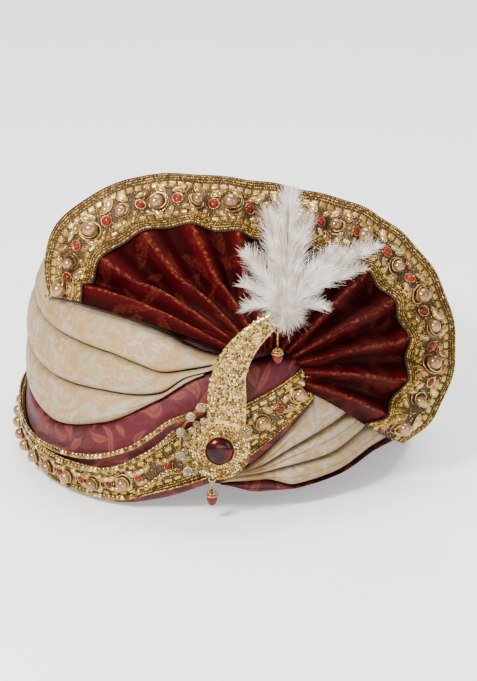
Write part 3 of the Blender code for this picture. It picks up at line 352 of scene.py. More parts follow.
fine_angles = np.linspace(FAN_START, FAN_END, 400)
rim_steps = np.linalg.norm(np.diff(rim_point(fine_angles), axis=0), axis=-1)
rim_run = np.concatenate([[0], np.cumsum(rim_steps)])
FAN_RIM_LENGTH = float(rim_run[-1])
print("fan rim", round(FAN_RIM_LENGTH / MM), "mm long")

# %% [markdown]
# ## Mesh helpers
# A grid of points becomes a mesh of quads, and a small form such as a bead can be repeated hundreds of times
# in one joined mesh. Both write their arrays straight into Blender, which is far quicker than adding faces
# one by one. UVs are in metres, so that one weave has the same thread size on every piece.

# %% Grids and joined copies
def piece_from(name, points, corners, counts, finish, uv=None, smooth=True):
    """A Blender mesh object from points, the corner indices of its faces and the corners of each face."""
    mesh = bpy.data.meshes.new(name)
    points = np.asarray(points, np.float32).reshape(-1, 3) + AXIS.astype(np.float32)
    mesh.vertices.add(len(points))
    mesh.vertices.foreach_set("co", points.ravel())
    mesh.loops.add(len(corners))
    mesh.loops.foreach_set("vertex_index", np.asarray(corners, np.int32))
    mesh.polygons.add(len(counts))
    starts = np.concatenate([[0], np.cumsum(counts)[:-1]])
    mesh.polygons.foreach_set("loop_start", starts.astype(np.int32))
    if uv is not None:
        layer = mesh.uv_layers.new(name="cloth")
        layer.uv.foreach_set("vector", np.asarray(uv, np.float32)[corners].ravel())
    mesh.update(calc_edges=True)
    mesh.validate()
    if smooth:
        mesh.shade_smooth()
    mesh.materials.append(finish)
    made = bpy.data.objects.new(name, mesh)
    bpy.context.scene.collection.objects.link(made)
    return made


def grid_corners(rows, columns, wrap=False):
    """Corner indices of a grid's quads; wrap joins the last column to the first."""
    i, j = np.meshgrid(np.arange(rows - 1), np.arange(columns if wrap else columns - 1), indexing="ij")
    k = (j + 1) % columns
    quads = np.stack([i * columns + j, i * columns + k, (i + 1) * columns + k, (i + 1) * columns + j], -1)
    return quads.reshape(-1, 4)


def add_piece(name, arrays, finish, nodes=(), uv=None, smooth=True):
    """Adds a piece that rides on the turban and in place of the CAD nodes named."""
    piece = piece_from(name, *arrays, finish, uv, smooth)
    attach(piece, "root")
    if nodes:
        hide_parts(*nodes)
    piece.data.update()
    print(name, "-", len(piece.data.polygons), "faces")
    return piece


def two_sided(front, back, uv):
    """A thin closed sheet between two grids of points, as arrays and UVs; uv is given for one side."""
    rows, columns = front.shape[:2]
    offset = rows * columns
    quads = grid_corners(rows, columns)
    edge = np.concatenate([
        np.arange(columns), np.arange(1, rows) * columns + columns - 1,
        (rows - 1) * columns + np.arange(columns - 2, -1, -1), np.arange(rows - 2, 0, -1) * columns,
    ])
    following = np.roll(edge, -1)
    sides = np.stack([following, edge, edge + offset, following + offset], -1)
    corners = np.concatenate([quads.ravel(), (quads[:, ::-1] + offset).ravel(), sides.ravel()])
    points = np.concatenate([front.reshape(-1, 3), back.reshape(-1, 3)])
    return (points, corners, np.full(len(corners) // 4, 4)), np.concatenate([uv.reshape(-1, 2)] * 2)


def spun_form(profile, sides, start=0.0):
    """A small round form on the Z axis from (radius, z) rows, as points, corners and face sizes."""
    points, rings, corners, counts = [], [], [], []
    for radius, z in profile:
        count = 1 if radius == 0 else sides
        rings.append(np.arange(len(points), len(points) + count))
        turned = start + 2 * np.pi * np.arange(count) / count
        points += list(np.stack([radius * np.cos(turned), radius * np.sin(turned), z + 0 * turned], -1))
    for lower, upper in zip(rings, rings[1:]):
        for i in range(sides):
            j = (i + 1) % sides
            face = [lower[i % len(lower)], lower[j % len(lower)]]
            face += [upper[j % len(upper)], upper[i % len(upper)]]
            face = list(dict.fromkeys(int(v) for v in face))
            corners += face
            counts.append(len(face))
    return np.array(points), np.array(corners), np.array(counts)


def copies(form, centres, turns, sizes):
    """Many copies of a form as one set of arrays; sizes holds a length along each of a copy's own axes."""
    points, corners, counts = form
    centres, sizes = np.asarray(centres), np.asarray(sizes)
    if sizes.ndim < 2:
        sizes = np.repeat(np.broadcast_to(sizes, len(centres))[:, None], 3, axis=1)
    placed = centres[:, None] + np.einsum("nij,nvj->nvi", turns, points[None] * sizes[:, None])
    offset = np.arange(len(centres))[:, None] * len(points)
    return placed.reshape(-1, 3), (corners[None] + offset).ravel(), np.tile(counts, len(centres))


def merged(*parts):
    """Several sets of arrays as one."""
    base, points, corners, counts = 0, [], [], []
    for part in parts:
        points.append(part[0])
        corners.append(part[1] + base)
        counts.append(part[2])
        base += len(part[0])
    return np.concatenate(points), np.concatenate(corners), np.concatenate(counts)


def turns_to(normals, along):
    """Rotations whose Z axes are the normals and whose X axes lie near along."""
    z = unit(np.asarray(normals, float))
    x = unit(along - z * np.sum(z * along, axis=-1, keepdims=True))
    return np.stack([x, np.cross(z, x), z], -1)


def tube(path, radius, sides=8, closed=False):
    """A round tube along points, as arrays; radius is one value or one for each point."""
    path = np.asarray(path, float)
    ahead, behind = np.roll(path, -1, axis=0), np.roll(path, 1, axis=0)
    if not closed:
        ahead[-1], behind[0] = path[-1], path[0]
    run = unit(ahead - behind)
    side = unit(np.cross(run, np.array([0.31, 0.17, 0.93])))
    up = np.cross(run, side)
    turned = 2 * np.pi * np.arange(sides) / sides
    reach = np.broadcast_to(radius, len(path))[:, None, None]
    ring = side[:, None] * np.cos(turned)[None, :, None] + up[:, None] * np.sin(turned)[None, :, None]
    points = path[:, None] + ring * reach
    quads = grid_corners(len(path), sides, wrap=True)
    if closed:
        last = np.arange(sides) + (len(path) - 1) * sides
        first = np.arange(sides)
        quads = np.concatenate([quads, np.stack([last, np.roll(last, -1), np.roll(first, -1), first], -1)])
    corners, counts = quads.ravel(), np.full(len(quads), 4)
    if not closed:
        ends = np.concatenate([np.arange(sides)[::-1], np.arange(sides) + (len(path) - 1) * sides])
        corners, counts = np.concatenate([corners, ends]), np.concatenate([counts, [sides, sides]])
    return points.reshape(-1, 3), corners, counts


def ball_form(rows, sides):
    turned = np.pi * np.arange(rows + 1) / rows
    profile = [(0 if i in (0, rows) else math.sin(t), -math.cos(t)) for i, t in enumerate(turned)]
    return spun_form(profile, sides)


BEAD = ball_form(4, 6)
CUT_STONE = spun_form([(0, -0.25), (0.86, -0.25), (1.0, 0.12), (0.80, 0.42), (0.50, 0.58), (0, 0.58)], 8)
CUP = spun_form([(0, -0.55), (0.80, -0.55), (1.16, 0.05), (1.16, 0.24), (0.98, 0.16), (0.90, 0.0)], 8)
print("bead", len(BEAD[2]), "faces, cut stone", len(CUT_STONE[2]), "faces")

# %% [markdown]
# ## Shared surface effects
# A finish is built from small node groups: a weave, a leaf brocade, soft creases and the random tint of
# small parts. Each group gives masks or values that change over the surface, and every material mixes them
# in its own way. The brocade is drawn with leaf outlines in tiles, because a woven pattern repeats.

# %% Node helpers
def node(tree, kind, values=None, **settings):
    made = tree.nodes.new("ShaderNode" + kind)
    for key, value in settings.items():
        setattr(made, key, value)
    for key, value in (values or {}).items():
        socket = made.inputs[key]
        if isinstance(value, bpy.types.NodeSocket):
            tree.links.new(value, socket)
        else:
            socket.default_value = value
    return made


def maths(tree, operation, *values):
    return node(tree, "Math", dict(enumerate(values)), operation=operation).outputs[0]


def vector_maths(tree, operation, first, second):
    """A sum on vectors; SCALE takes a plain value as its second."""
    values = {0: first, (3 if operation == "SCALE" else 1): second}
    return node(tree, "VectorMath", values, operation=operation).outputs[0]


def mixed(tree, factor, first, second):
    """A blend of two colours."""
    made = node(tree, "Mix", {0: factor}, data_type="RGBA")
    for index, value in ((6, first), (7, second)):
        if isinstance(value, bpy.types.NodeSocket):
            tree.links.new(value, made.inputs[index])
        else:
            made.inputs[index].default_value = (*value, 1.0)
    return made.outputs[2]


def eased(tree, value, low, high, to_low=0.0, to_high=1.0):
    """A value carried softly from one range to another."""
    values = {0: value, 1: low, 2: high, 3: to_low, 4: to_high}
    return node(tree, "MapRange", values, interpolation_type="SMOOTHSTEP").outputs[0]


def noise(tree, place, scale, detail, distortion=0.0):
    values = {"Vector": place, "Scale": scale, "Detail": detail, "Distortion": distortion}
    return node(tree, "TexNoise", values).outputs[0]


def group_of(name, inputs, outputs):
    """A node group with named sockets: (name, kind, default) in and (name, kind) out."""
    tree = bpy.data.node_groups.new(name, "ShaderNodeTree")
    for label, kind, value in inputs:
        socket = tree.interface.new_socket(label, in_out="INPUT", socket_type="NodeSocket" + kind)
        if value is not None:
            socket.default_value = value
    for label, kind in outputs:
        tree.interface.new_socket(label, in_out="OUTPUT", socket_type="NodeSocket" + kind)
    return tree, tree.nodes.new("NodeGroupInput").outputs, tree.nodes.new("NodeGroupOutput").inputs


def use(tree, group, values):
    """A group in a material, given sockets or constants; its outputs by name."""
    return node(tree, "Group", values, node_tree=group).outputs


def give(tree, ends, **values):
    """Links values to the inputs of these names: a shader's, or those of a group's output."""
    for key, value in values.items():
        tree.links.new(value, ends[key.replace("_", " ")])


# %% Weave: threads over and under
THREAD = 0.9 * MM
weave, weave_in, weave_out = group_of(
    "Weave", [("Place", "Vector", None), ("Thread", "Float", THREAD)],
    [("Height", "Float"), ("Grain", "Float")]
)
per_metre = maths(weave, "DIVIDE", 2 * math.pi, weave_in["Thread"])
lines = node(weave, "SeparateXYZ", {0: vector_maths(weave, "SCALE", weave_in["Place"], per_metre)}).outputs
over = maths(weave, "MULTIPLY", maths(weave, "SINE", lines[0]), maths(weave, "SINE", lines[1]))
grain = noise(weave, weave_in["Place"], 420.0, 3.0)
give(weave, weave_out, Height=maths(weave, "MULTIPLY_ADD", over, 0.5, 0.5), Grain=grain)
print("weave group", len(weave.nodes), "nodes")

# %% Brocade: bent leaves in a repeating tile
# each leaf: middle across and up the tile, turn in degrees, half length, half width, bend
LEAVES = (
    (-0.10, 0.12, 62, 0.30, 0.105, 0.9),
    (0.20, -0.02, 12, 0.25, 0.090, -0.8),
    (-0.26, -0.22, 140, 0.23, 0.085, 0.8),
    (0.08, -0.34, -24, 0.26, 0.080, 0.7),
    (0.34, 0.30, 98, 0.19, 0.070, -0.9),
    (-0.36, 0.33, 30, 0.16, 0.060, 0.6),
)
RIB_SHARPNESS = 6.0
brocade, brocade_in, brocade_out = group_of(
    "Leaf brocade",
    [("Place", "Vector", None), ("Tile", "Float", 0.05), ("Wander", "Float", 0.3)],
    [("Leaf", "Float"), ("Outline", "Float"), ("Vein", "Float"), ("Tone", "Float"), ("Scroll", "Float")],
)
tiles = maths(brocade, "DIVIDE", 1.0, brocade_in["Tile"])
flat = vector_maths(brocade, "SCALE", brocade_in["Place"], tiles)
drift = node(brocade, "TexNoise", {"Vector": flat, "Scale": 1.4, "Detail": 1.0}).outputs[1]
centred = vector_maths(brocade, "SUBTRACT", drift, (0.5, 0.5, 0.5))
moved = vector_maths(brocade, "SCALE", centred, brocade_in["Wander"])
spot = node(brocade, "SeparateXYZ", {0: vector_maths(brocade, "ADD", flat, moved)}).outputs
# every other row of tiles is shifted by half a tile
odd_row = maths(brocade, "FLOORED_MODULO", maths(brocade, "FLOOR", spot[1]), 2.0)
shifted = maths(brocade, "MULTIPLY_ADD", odd_row, 0.5, spot[0])
cell_x = maths(brocade, "SUBTRACT", maths(brocade, "FRACT", shifted), 0.5)
cell_y = maths(brocade, "SUBTRACT", maths(brocade, "FRACT", spot[1]), 0.5)
cell = node(brocade, "CombineXYZ", {0: cell_x, 1: cell_y}).outputs[0]
inside_leaf, vein = None, None
for across, up, turn, half_length, half_width, bend in LEAVES:
    own = node(
        brocade, "Mapping",
        {0: cell, 1: (across, up, 0), 2: (0, 0, math.radians(turn)), 3: (half_length, half_width, 1)},
        vector_type="TEXTURE",
    ).outputs[0]
    own = node(brocade, "SeparateXYZ", {0: own}).outputs
    squared = maths(brocade, "MULTIPLY", own[0], own[0])
    bent = maths(brocade, "ABSOLUTE", maths(brocade, "MULTIPLY_ADD", squared, bend, own[1]))
    depth = maths(brocade, "SUBTRACT", maths(brocade, "SUBTRACT", 1.0, squared), bent)
    rib = maths(brocade, "MINIMUM", maths(brocade, "MULTIPLY_ADD", bent, -RIB_SHARPNESS, 1.0), depth)
    inside_leaf = depth if inside_leaf is None else maths(brocade, "MAXIMUM", inside_leaf, depth)
    vein = rib if vein is None else maths(brocade, "MAXIMUM", vein, rib)
rising, falling = eased(brocade, inside_leaf, -0.55, -0.30), eased(brocade, inside_leaf, -0.30, -0.10, 1, 0)
give(
    brocade, brocade_out, Leaf=eased(brocade, inside_leaf, 0.0, 0.18),
    Outline=maths(brocade, "MULTIPLY", rising, falling), Vein=eased(brocade, vein, 0.0, 0.5),
    Tone=noise(brocade, flat, 0.8, 2.0),
    Scroll=eased(brocade, noise(brocade, flat, 3.2, 1.0, 2.2), 0.50, 0.57),
)
print("brocade group", len(brocade.nodes), "nodes for", len(LEAVES), "leaves")

# %% Soft creases, and the tint of small separate parts
soft, soft_in, soft_out = group_of(
    "Soft creases", [("Place", "Vector", None), ("Stretch", "Vector", (9, 60, 1))], [("Height", "Float")]
)
drawn = vector_maths(soft, "MULTIPLY", soft_in["Place"], soft_in["Stretch"])
give(soft, soft_out, Height=noise(soft, drawn, 1.0, 3.0, 0.6))

tint, tint_in, tint_out = group_of(
    "Random tint",
    [(label, "Color", (1, 1, 1, 1)) for label in ("First", "Second", "Third")],
    [("Colour", "Color"), ("Random", "Float")],
)
island = tint.nodes.new("ShaderNodeNewGeometry").outputs["Random Per Island"]
toned = mixed(tint, eased(tint, island, 0.25, 0.45), tint_in["First"], tint_in["Second"])
toned = mixed(tint, eased(tint, island, 0.60, 0.80), toned, tint_in["Third"])
give(tint, tint_out, Colour=toned, Random=island)
print("crease and tint groups ready")

# %% [markdown]
# ## Finishes
# Silk brocade is satin ground with leaves woven in a duller thread. The cream cloth has peach and straw
# leaves, the wrap is crimson with tan-pink leaves, and the fan is a dark maroon with a painted highlight of
# red and gold on its ridges and painted shade in its valleys.

# %% Brocade and silk
def new_material(name, **constants):
    """A new material with constants on its shader, its node tree and the shader's inputs."""
    made = bpy.data.materials.new(name)
    made.use_nodes = True
    shader = made.node_tree.nodes["Principled BSDF"].inputs
    for key, value in constants.items():
        shader[key.replace("_", " ")].default_value = value
    return made, made.node_tree, shader


def bump(tree, shader, height, distance, strength=1.0):
    made = node(tree, "Bump", {"Height": height, "Strength": strength, "Distance": distance})
    give(tree, shader, Normal=made.outputs[0])


def cloth_place(tree):
    return node(tree, "UVMap", uv_map="cloth").outputs[0]


def own_place(tree):
    return node(tree, "TexCoord").outputs["Object"]


def brocade_cloth(name, ground, shade, leaf, outline, tile, wander, scroll):
    """Brocade: a satin ground, leaves and outlines in other threads, a weave and soft creases."""
    made, tree, shader = new_material(name, Specular_IOR_Level=0.25)
    place = cloth_place(tree)
    pattern = use(tree, brocade, {"Place": place, "Tile": tile, "Wander": wander})
    threads = use(tree, weave, {"Place": place, "Thread": THREAD})
    folds = use(tree, soft, {"Place": place, "Stretch": (9, 70, 1)})
    colour = mixed(tree, eased(tree, pattern["Tone"], 0.35, 0.65), ground, shade)
    for line, strength in (("Scroll", scroll), ("Outline", 0.55)):
        colour = mixed(tree, maths(tree, "MULTIPLY", pattern[line], strength), colour, outline)
    leafy = maths(tree, "MULTIPLY", pattern["Leaf"], maths(tree, "MULTIPLY_ADD", threads["Grain"], 0.9, 0.30))
    leafy = maths(tree, "MULTIPLY", leafy, maths(tree, "MULTIPLY_ADD", pattern["Vein"], -0.45, 1.0))
    rough = maths(tree, "MULTIPLY_ADD", pattern["Leaf"], 0.14, 0.40)
    rough = maths(tree, "MULTIPLY_ADD", threads["Grain"], 0.12, rough)
    give(tree, shader, Base_Color=mixed(tree, leafy, colour, leaf), Roughness=rough)
    height = maths(tree, "MULTIPLY_ADD", threads["Height"], 0.10, folds["Height"])
    bump(tree, shader, maths(tree, "MULTIPLY_ADD", pattern["Leaf"], 0.10, height), 1.1 * MM, 0.8)
    return made


def pleated_silk(name):
    """Dark silk, painted near black in the pleats' valleys as painted shade, with a painted highlight of red
    and gold flecks where the mesh's ridge value is high.
    """
    made, tree, shader = new_material(name, Specular_IOR_Level=0.06, Specular_Tint=(1.0, 0.35, 0.2, 1.0))
    place = cloth_place(tree)
    ridge = node(tree, "Attribute", attribute_name="ridge").outputs["Fac"]
    pattern = use(tree, brocade, {"Place": place, "Tile": 0.058, "Wander": 0.4})
    threads = use(tree, weave, {"Place": place, "Thread": 0.8 * MM})
    folds = use(tree, soft, {"Place": place, "Stretch": (60, 12, 1)})
    tone = eased(tree, pattern["Tone"], 0.3, 0.7)
    colour = mixed(tree, tone, (0.040, 0.0010, 0.0024), (0.024, 0.0006, 0.0020))
    # painted shade: the silk is painted near black where the ridge value is low, down in the pleats' valleys
    colour = mixed(tree, eased(tree, ridge, 0.0, 0.40), (0.012, 0.0004, 0.0010), colour)
    grain = eased(tree, threads["Grain"], 0.35, 0.65, 0.05, 0.5)
    colour = mixed(tree, maths(tree, "MULTIPLY", pattern["Leaf"], grain), colour, (0.080, 0.011, 0.006))
    # painted highlight: red and gold glints painted along the pleats' ridges, where the ridge value is high,
    # broken into flecks by fine noise
    glint_flecks = eased(tree, noise(tree, place, 380.0, 4.0), 0.46, 0.68, 0.04, 0.60)
    painted_ridge_glint = maths(tree, "MULTIPLY", eased(tree, ridge, 0.58, 1.0), glint_flecks)
    rough = maths(tree, "MULTIPLY_ADD", threads["Grain"], 0.25, 0.36)
    give(tree, shader, Base_Color=mixed(tree, painted_ridge_glint, colour, (0.27, 0.072, 0.026)), Roughness=rough)
    bump(tree, shader, maths(tree, "MULTIPLY_ADD", threads["Height"], 0.10, folds["Height"]), 1.0 * MM, 0.8)
    return made


cream_finish = brocade_cloth(
    "cream brocade", (0.315, 0.272, 0.195), (0.275, 0.212, 0.125), (0.31, 0.160, 0.046),
    (0.285, 0.175, 0.058), 0.034, 0.9, 0.75,
)
crimson_finish = brocade_cloth(
    "crimson brocade", (0.054, 0.0005, 0.0046), (0.028, 0.0003, 0.0020), (0.150, 0.031, 0.018),
    (0.095, 0.007, 0.009), 0.036, 0.7, 0.35,
)
fan_finish = pleated_silk("dark maroon silk")
print("3 cloth finishes")

# %% Gold lace, metal, pearl and stones
def tinted(name, tones, roughness, spread, **constants):
    """A finish for many small parts in one mesh: each takes one of three tones at random."""
    made, tree, shader = new_material(name, **constants)
    tones = {label: (*tone, 1.0) for label, tone in zip(("First", "Second", "Third"), tones)}
    random = use(tree, tint, tones)
    speck = eased(tree, noise(tree, own_place(tree), 900.0, 2.0), 0.35, 0.75, 0.0, 0.35)
    rough = maths(tree, "MULTIPLY_ADD", random["Random"], spread, roughness)
    give(tree, shader, Base_Color=mixed(tree, speck, random["Colour"], (0.08, 0.05, 0.03)), Roughness=rough)
    return made


def clouded(name, scale, detail, span, dark, light, **constants):
    """A finish whose colour drifts softly between a dark and a light tone."""
    made, tree, shader = new_material(name, **constants)
    cloud = eased(tree, noise(tree, own_place(tree), scale, detail), *span)
    give(tree, shader, Base_Color=mixed(tree, cloud, dark, light))
    return made


gold_bead_finish = tinted(
    "gold beads", ((0.44, 0.250, 0.038), (0.16, 0.075, 0.012), (0.70, 0.500, 0.12)), 0.22, 0.2, Metallic=1.0)
gold_wire_finish = tinted(
    "gold wire", ((0.50, 0.29, 0.08), (0.34, 0.18, 0.045), (0.62, 0.42, 0.14)), 0.26, 0.1, Metallic=1.0)
patch_finish = tinted(
    "woven patches", ((0.48, 0.31, 0.045), (0.38, 0.21, 0.035), (0.46, 0.37, 0.09)), 0.34, 0.2, Metallic=0.85)
leaf_finish = tinted(
    "leaf stones", ((0.38, 0.24, 0.075), (0.28, 0.13, 0.042), (0.50, 0.38, 0.17)), 0.16, 0.1,
    Metallic=0.75, Coat_Weight=0.2)
red_finish = tinted(
    "red stones", ((0.19, 0.0006, 0.0022), (0.11, 0.0004, 0.0016), (0.24, 0.0012, 0.0024)), 0.10, 0.1,
    Specular_IOR_Level=0.2)
crystal_finish = tinted(
    "foiled crystals", ((0.31, 0.215, 0.062), (0.09, 0.050, 0.013), (0.64, 0.53, 0.28)), 0.06, 0.12,
    Metallic=0.95)

pearl_finish, tree, shader = new_material("pearl", Metallic=0.6, Coat_Weight=0.45, Coat_Roughness=0.05)
cloud = noise(tree, own_place(tree), 160.0, 2.0)
tones = {
    "First": (0.18, 0.084, 0.027, 1), "Second": (0.22, 0.110, 0.038, 1), "Third": (0.27, 0.150, 0.062, 1),
}
lustre = mixed(tree, eased(tree, cloud, 0.3, 0.7), use(tree, tint, tones)["Colour"], (0.28, 0.160, 0.070))
give(tree, shader, Base_Color=lustre, Roughness=eased(tree, cloud, 0.2, 0.8, 0.16, 0.26))

NET_MESH, NET_WANDER, NET_SLOPE = 2.1 * MM, 1.6 * MM, 0.7
net_finish, tree, shader = new_material("lace net")
net_place = cloth_place(tree)
wander = noise(tree, net_place, 180.0, 1.0)
spot = node(tree, "SeparateXYZ", {0: net_place}).outputs
slants = []
for slope in (NET_SLOPE, -NET_SLOPE):
    slant = maths(tree, "MULTIPLY_ADD", spot[1], slope, spot[0])
    slant = maths(tree, "MULTIPLY_ADD", wander, NET_WANDER, slant)
    wave = maths(tree, "ABSOLUTE", maths(tree, "SINE", maths(tree, "MULTIPLY", slant, math.pi / NET_MESH)))
    slants.append(maths(tree, "SUBTRACT", 1.0, wave))
thread = eased(tree, maths(tree, "MAXIMUM", *slants), 0.62, 0.92)
give(
    tree, shader, Base_Color=mixed(tree, thread, (0.016, 0.005, 0.003), (0.28, 0.15, 0.04)),
    Metallic=maths(tree, "MULTIPLY", thread, 0.8), Roughness=maths(tree, "MULTIPLY_ADD", thread, -0.35, 0.75),
)
bump(tree, shader, thread, 0.6 * MM)
print("8 trim finishes")

# %% [markdown]
# ## Floor
# The turban stands on a plain white table top. It is flat and wide, so that it hides nothing from any side.

# %% Floor
FLOOR_HALF, FLOOR_GLOW = 14.0, 0.36
floor_finish, tree, shader = new_material(
    "studio paper", Roughness=0.2, Emission_Color=(1, 1, 1, 1), Emission_Strength=FLOOR_GLOW)
paper = node(tree, "TexNoise", {"Scale": 14.0, "Detail": 2.0}).outputs[0]
give(tree, shader, Base_Color=mixed(tree, paper, (0.96, 0.96, 0.96), (0.94, 0.94, 0.945)))
floor_lines = np.linspace(-FLOOR_HALF, FLOOR_HALF, 9)
floor_points = np.array([[(x, y, 0.0) for x in floor_lines] for y in floor_lines]) - AXIS
floor_quads = grid_corners(len(floor_lines), len(floor_lines))
floor = piece_from("floor", floor_points, floor_quads.ravel(), np.full(len(floor_quads), 4), floor_finish)

# %% [markdown]
# ## Wound cloth
# The body of the turban is one padded dome with a long cloth wound round it. Each turn shows as a full
# fold: proud at its upper edge, where the cloth doubles over, and tucked in at its lower edge behind the
# turn below. Long shallow creases run with the cloth and crowd together towards the brooch, where it is
# pulled tight.

# %% Creases that run along a fold
MM_PER_DEGREE = 2.48 * MM
CREASE_FADE = 25.0


def creases(azimuth, across, seed, count, span):
    """Depth of soft creases from 0 to about 1; across is a share of the fold, so they close up with it."""
    rng = np.random.default_rng(seed)
    depth = np.zeros(np.broadcast(azimuth, across).shape)
    for _ in range(count):
        start = rng.uniform(span[0] - 30, span[1] - 20)
        length = rng.uniform(40, 150)
        line = rng.uniform(0.12, 0.9) + rng.uniform(-0.0022, 0.0022) * (azimuth - start)
        line = line + 0.03 * np.sin(np.radians(azimuth * rng.uniform(2, 5)) + rng.uniform(0, 6))
        width = rng.uniform(0.025, 0.07)
        entering, leaving = (azimuth - start) / CREASE_FADE, (start + length - azimuth) / CREASE_FADE
        ends = np.clip(entering, 0, 1) * np.clip(leaving, 0, 1)
        trough = np.exp(-(((across - line) / width) ** 2))
        depth = depth + rng.uniform(0.5, 1.0) * ends * trough
    return depth


EDGE_ROUND, FOLD_WALL, FOLD_INSIDE, CROWN_CLEAR = 2.6 * MM, 19 * MM, 3 * MM, 0.6 * MM
CREASES_A_FOLD = 16
# azimuth, width in degrees and strength of the two places where the folds gather beside the brooch
GATHERS = ((0, 30, 1.2), (352, 28, 0.8))
# shares of a fold's height where its sections have points, closer together at both edges
ACROSS = np.concatenate([[0, 0.012, 0.03, 0.055], np.linspace(0.09, 0.91, 34), [0.945, 0.97, 0.988, 1.0]])


def fold_points(azimuth, low, high, tuck, lip, seed, crease_depth):
    """Points of one wound fold: from its inner foot out, up its full outside and back in at the top."""
    azimuth = azimuth[:, None]
    low, high = low[:, None], high[:, None]
    across = ACROSS[None, :]
    height = high - low
    z = low + height * across
    radius = body_radius(azimuth, z)
    radius = radius - tuck * np.clip(1 - 2 * across, 0, 1) ** 3 - lip * np.clip(2 * across - 1, 0, 1) ** 3
    corner = np.minimum(EDGE_ROUND, height * 0.3)
    from_edge = np.minimum(across, 1 - across) * height
    short = np.clip(1 - from_edge / corner, 0, 1)
    radius = radius - corner * (1 - np.sqrt(np.clip(1 - short**2, 0, 1)))
    gathered = 1 + sum(strength * np.exp(-(((azimuth - at) / width) ** 2)) for at, width, strength in GATHERS)
    span = (float(azimuth.min()), float(azimuth.max()))
    folds = creases(azimuth, across, seed, CREASES_A_FOLD, span) * gathered
    radius = radius - crease_depth * np.clip(folds, 0, 2.4) * np.sin(np.pi * across) ** 0.5
    outside = around(azimuth, radius, z)
    inner = np.maximum(crown_radius(azimuth, z) + CROWN_CLEAR, radius - FOLD_WALL)
    top_in = around(azimuth, np.minimum(inner[:, -1:], radius[:, -1:] - FOLD_INSIDE), high)
    foot_in = around(azimuth, np.minimum(inner[:, :1], radius[:, :1] - FOLD_INSIDE), low)
    return np.concatenate([foot_in, outside, top_in], axis=1)


# shifts the pattern with a fold's height, so that neighbouring folds don't repeat it
PATTERN_SHIFT = 0.35


def fold_piece(name, node_name, azimuth, points, finish):
    """A padded fold lofted through its sections, with UVs in metres along and across it."""
    stations, sides = points.shape[:2]
    steps = np.linalg.norm(np.diff(points, axis=1), axis=-1)
    steps[:, 0] = 0
    run = np.concatenate([np.zeros((stations, 1)), np.cumsum(steps, axis=1)], axis=1)
    along = np.repeat((azimuth * MM_PER_DEGREE)[:, None], sides, axis=1)
    middle = points[:, sides // 2, 2][:, None] * PATTERN_SHIFT
    uv = np.stack([along, run + middle], -1).reshape(-1, 2)
    quads = grid_corners(stations, sides, wrap=True)
    caps = np.concatenate([np.arange(sides)[::-1], np.arange(sides) + (stations - 1) * sides])
    corners = np.concatenate([quads[:, ::-1].ravel(), caps[::-1]])
    counts = np.concatenate([np.full(len(quads), 4), [sides, sides]])
    add_piece(name, (points, corners, counts), finish, [node_name], uv)


# where the cream cloth starts and stops crossing the wrap: azimuth, and degrees that the change takes
WRAP_CROSSED = ((262, 26), (340, 9))
WRAP_CROSSING, TAIL_START, TAIL_END, TAIL_RISE = 0.97, 350.0, 360.0, 0.85


def wrap_top(azimuth):
    """Top edge of the crimson wrap; low at the right, where the cream cloth crosses over it."""
    (start, rise), (end, fall) = WRAP_CROSSED
    crossed = smooth_step((azimuth - start) / rise) * (1 - smooth_step((azimuth - end) / fall))
    low, top = maroon_low(azimuth), maroon_top(azimuth)
    return top - WRAP_CROSSING * crossed * (top - low)


def wrap_low(azimuth):
    """Low edge of the crimson wrap, which rises at the end of its tail so that the tail comes to a point."""
    low = maroon_low(azimuth)
    risen = smooth_step((azimuth - TAIL_START) / (TAIL_END - TAIL_START))
    return low + TAIL_RISE * risen * (wrap_top(azimuth) - low)


FOLD_STEP = 0.8
wrap_azimuth = np.arange(MAROON_LOW[0][0], TAIL_END, FOLD_STEP)
wrap_points = fold_points(
    wrap_azimuth, wrap_low(wrap_azimuth), wrap_top(wrap_azimuth), FOLD_DEPTH / 2, FOLD_DEPTH / 2, 11, 0.5 * MM
)
fold_piece("wrap_cloth", "maroon_wrap", wrap_azimuth, wrap_points, crimson_finish)

# fold number, the azimuths where it starts and ends under its neighbours, and its seed
CREAM_RUNS = ((1, 4, 360, 21), (2, -3, 359, 37), (3, -4, 358, 52))
CREAM_TUCK, CREAM_LIP, CREAM_CREASE, THINNEST = 6 * MM, 1.5 * MM, 0.9 * MM, 0.8 * MM
CREAM_DRAPED_FROM = 200
for layer, start, end, seed in CREAM_RUNS:
    azimuth = np.arange(start, end + 0.1, FOLD_STEP)
    low, high = cream_edge(layer - 1, azimuth) + GAP, cream_edge(layer, azimuth)
    if layer == 1:
        # the lowest fold comes down over the wrap where the wrap's top edge is low
        low = np.where(azimuth > CREAM_DRAPED_FROM, np.minimum(low, wrap_top(azimuth) + GAP), low)
    high = np.maximum(high, low + THINNEST)
    points = fold_points(azimuth, low, high, CREAM_TUCK, CREAM_LIP, seed, CREAM_CREASE)
    fold_piece(
        f"cream_cloth_{layer}", f"cream_fold_{layer}", azimuth, points, cream_finish)

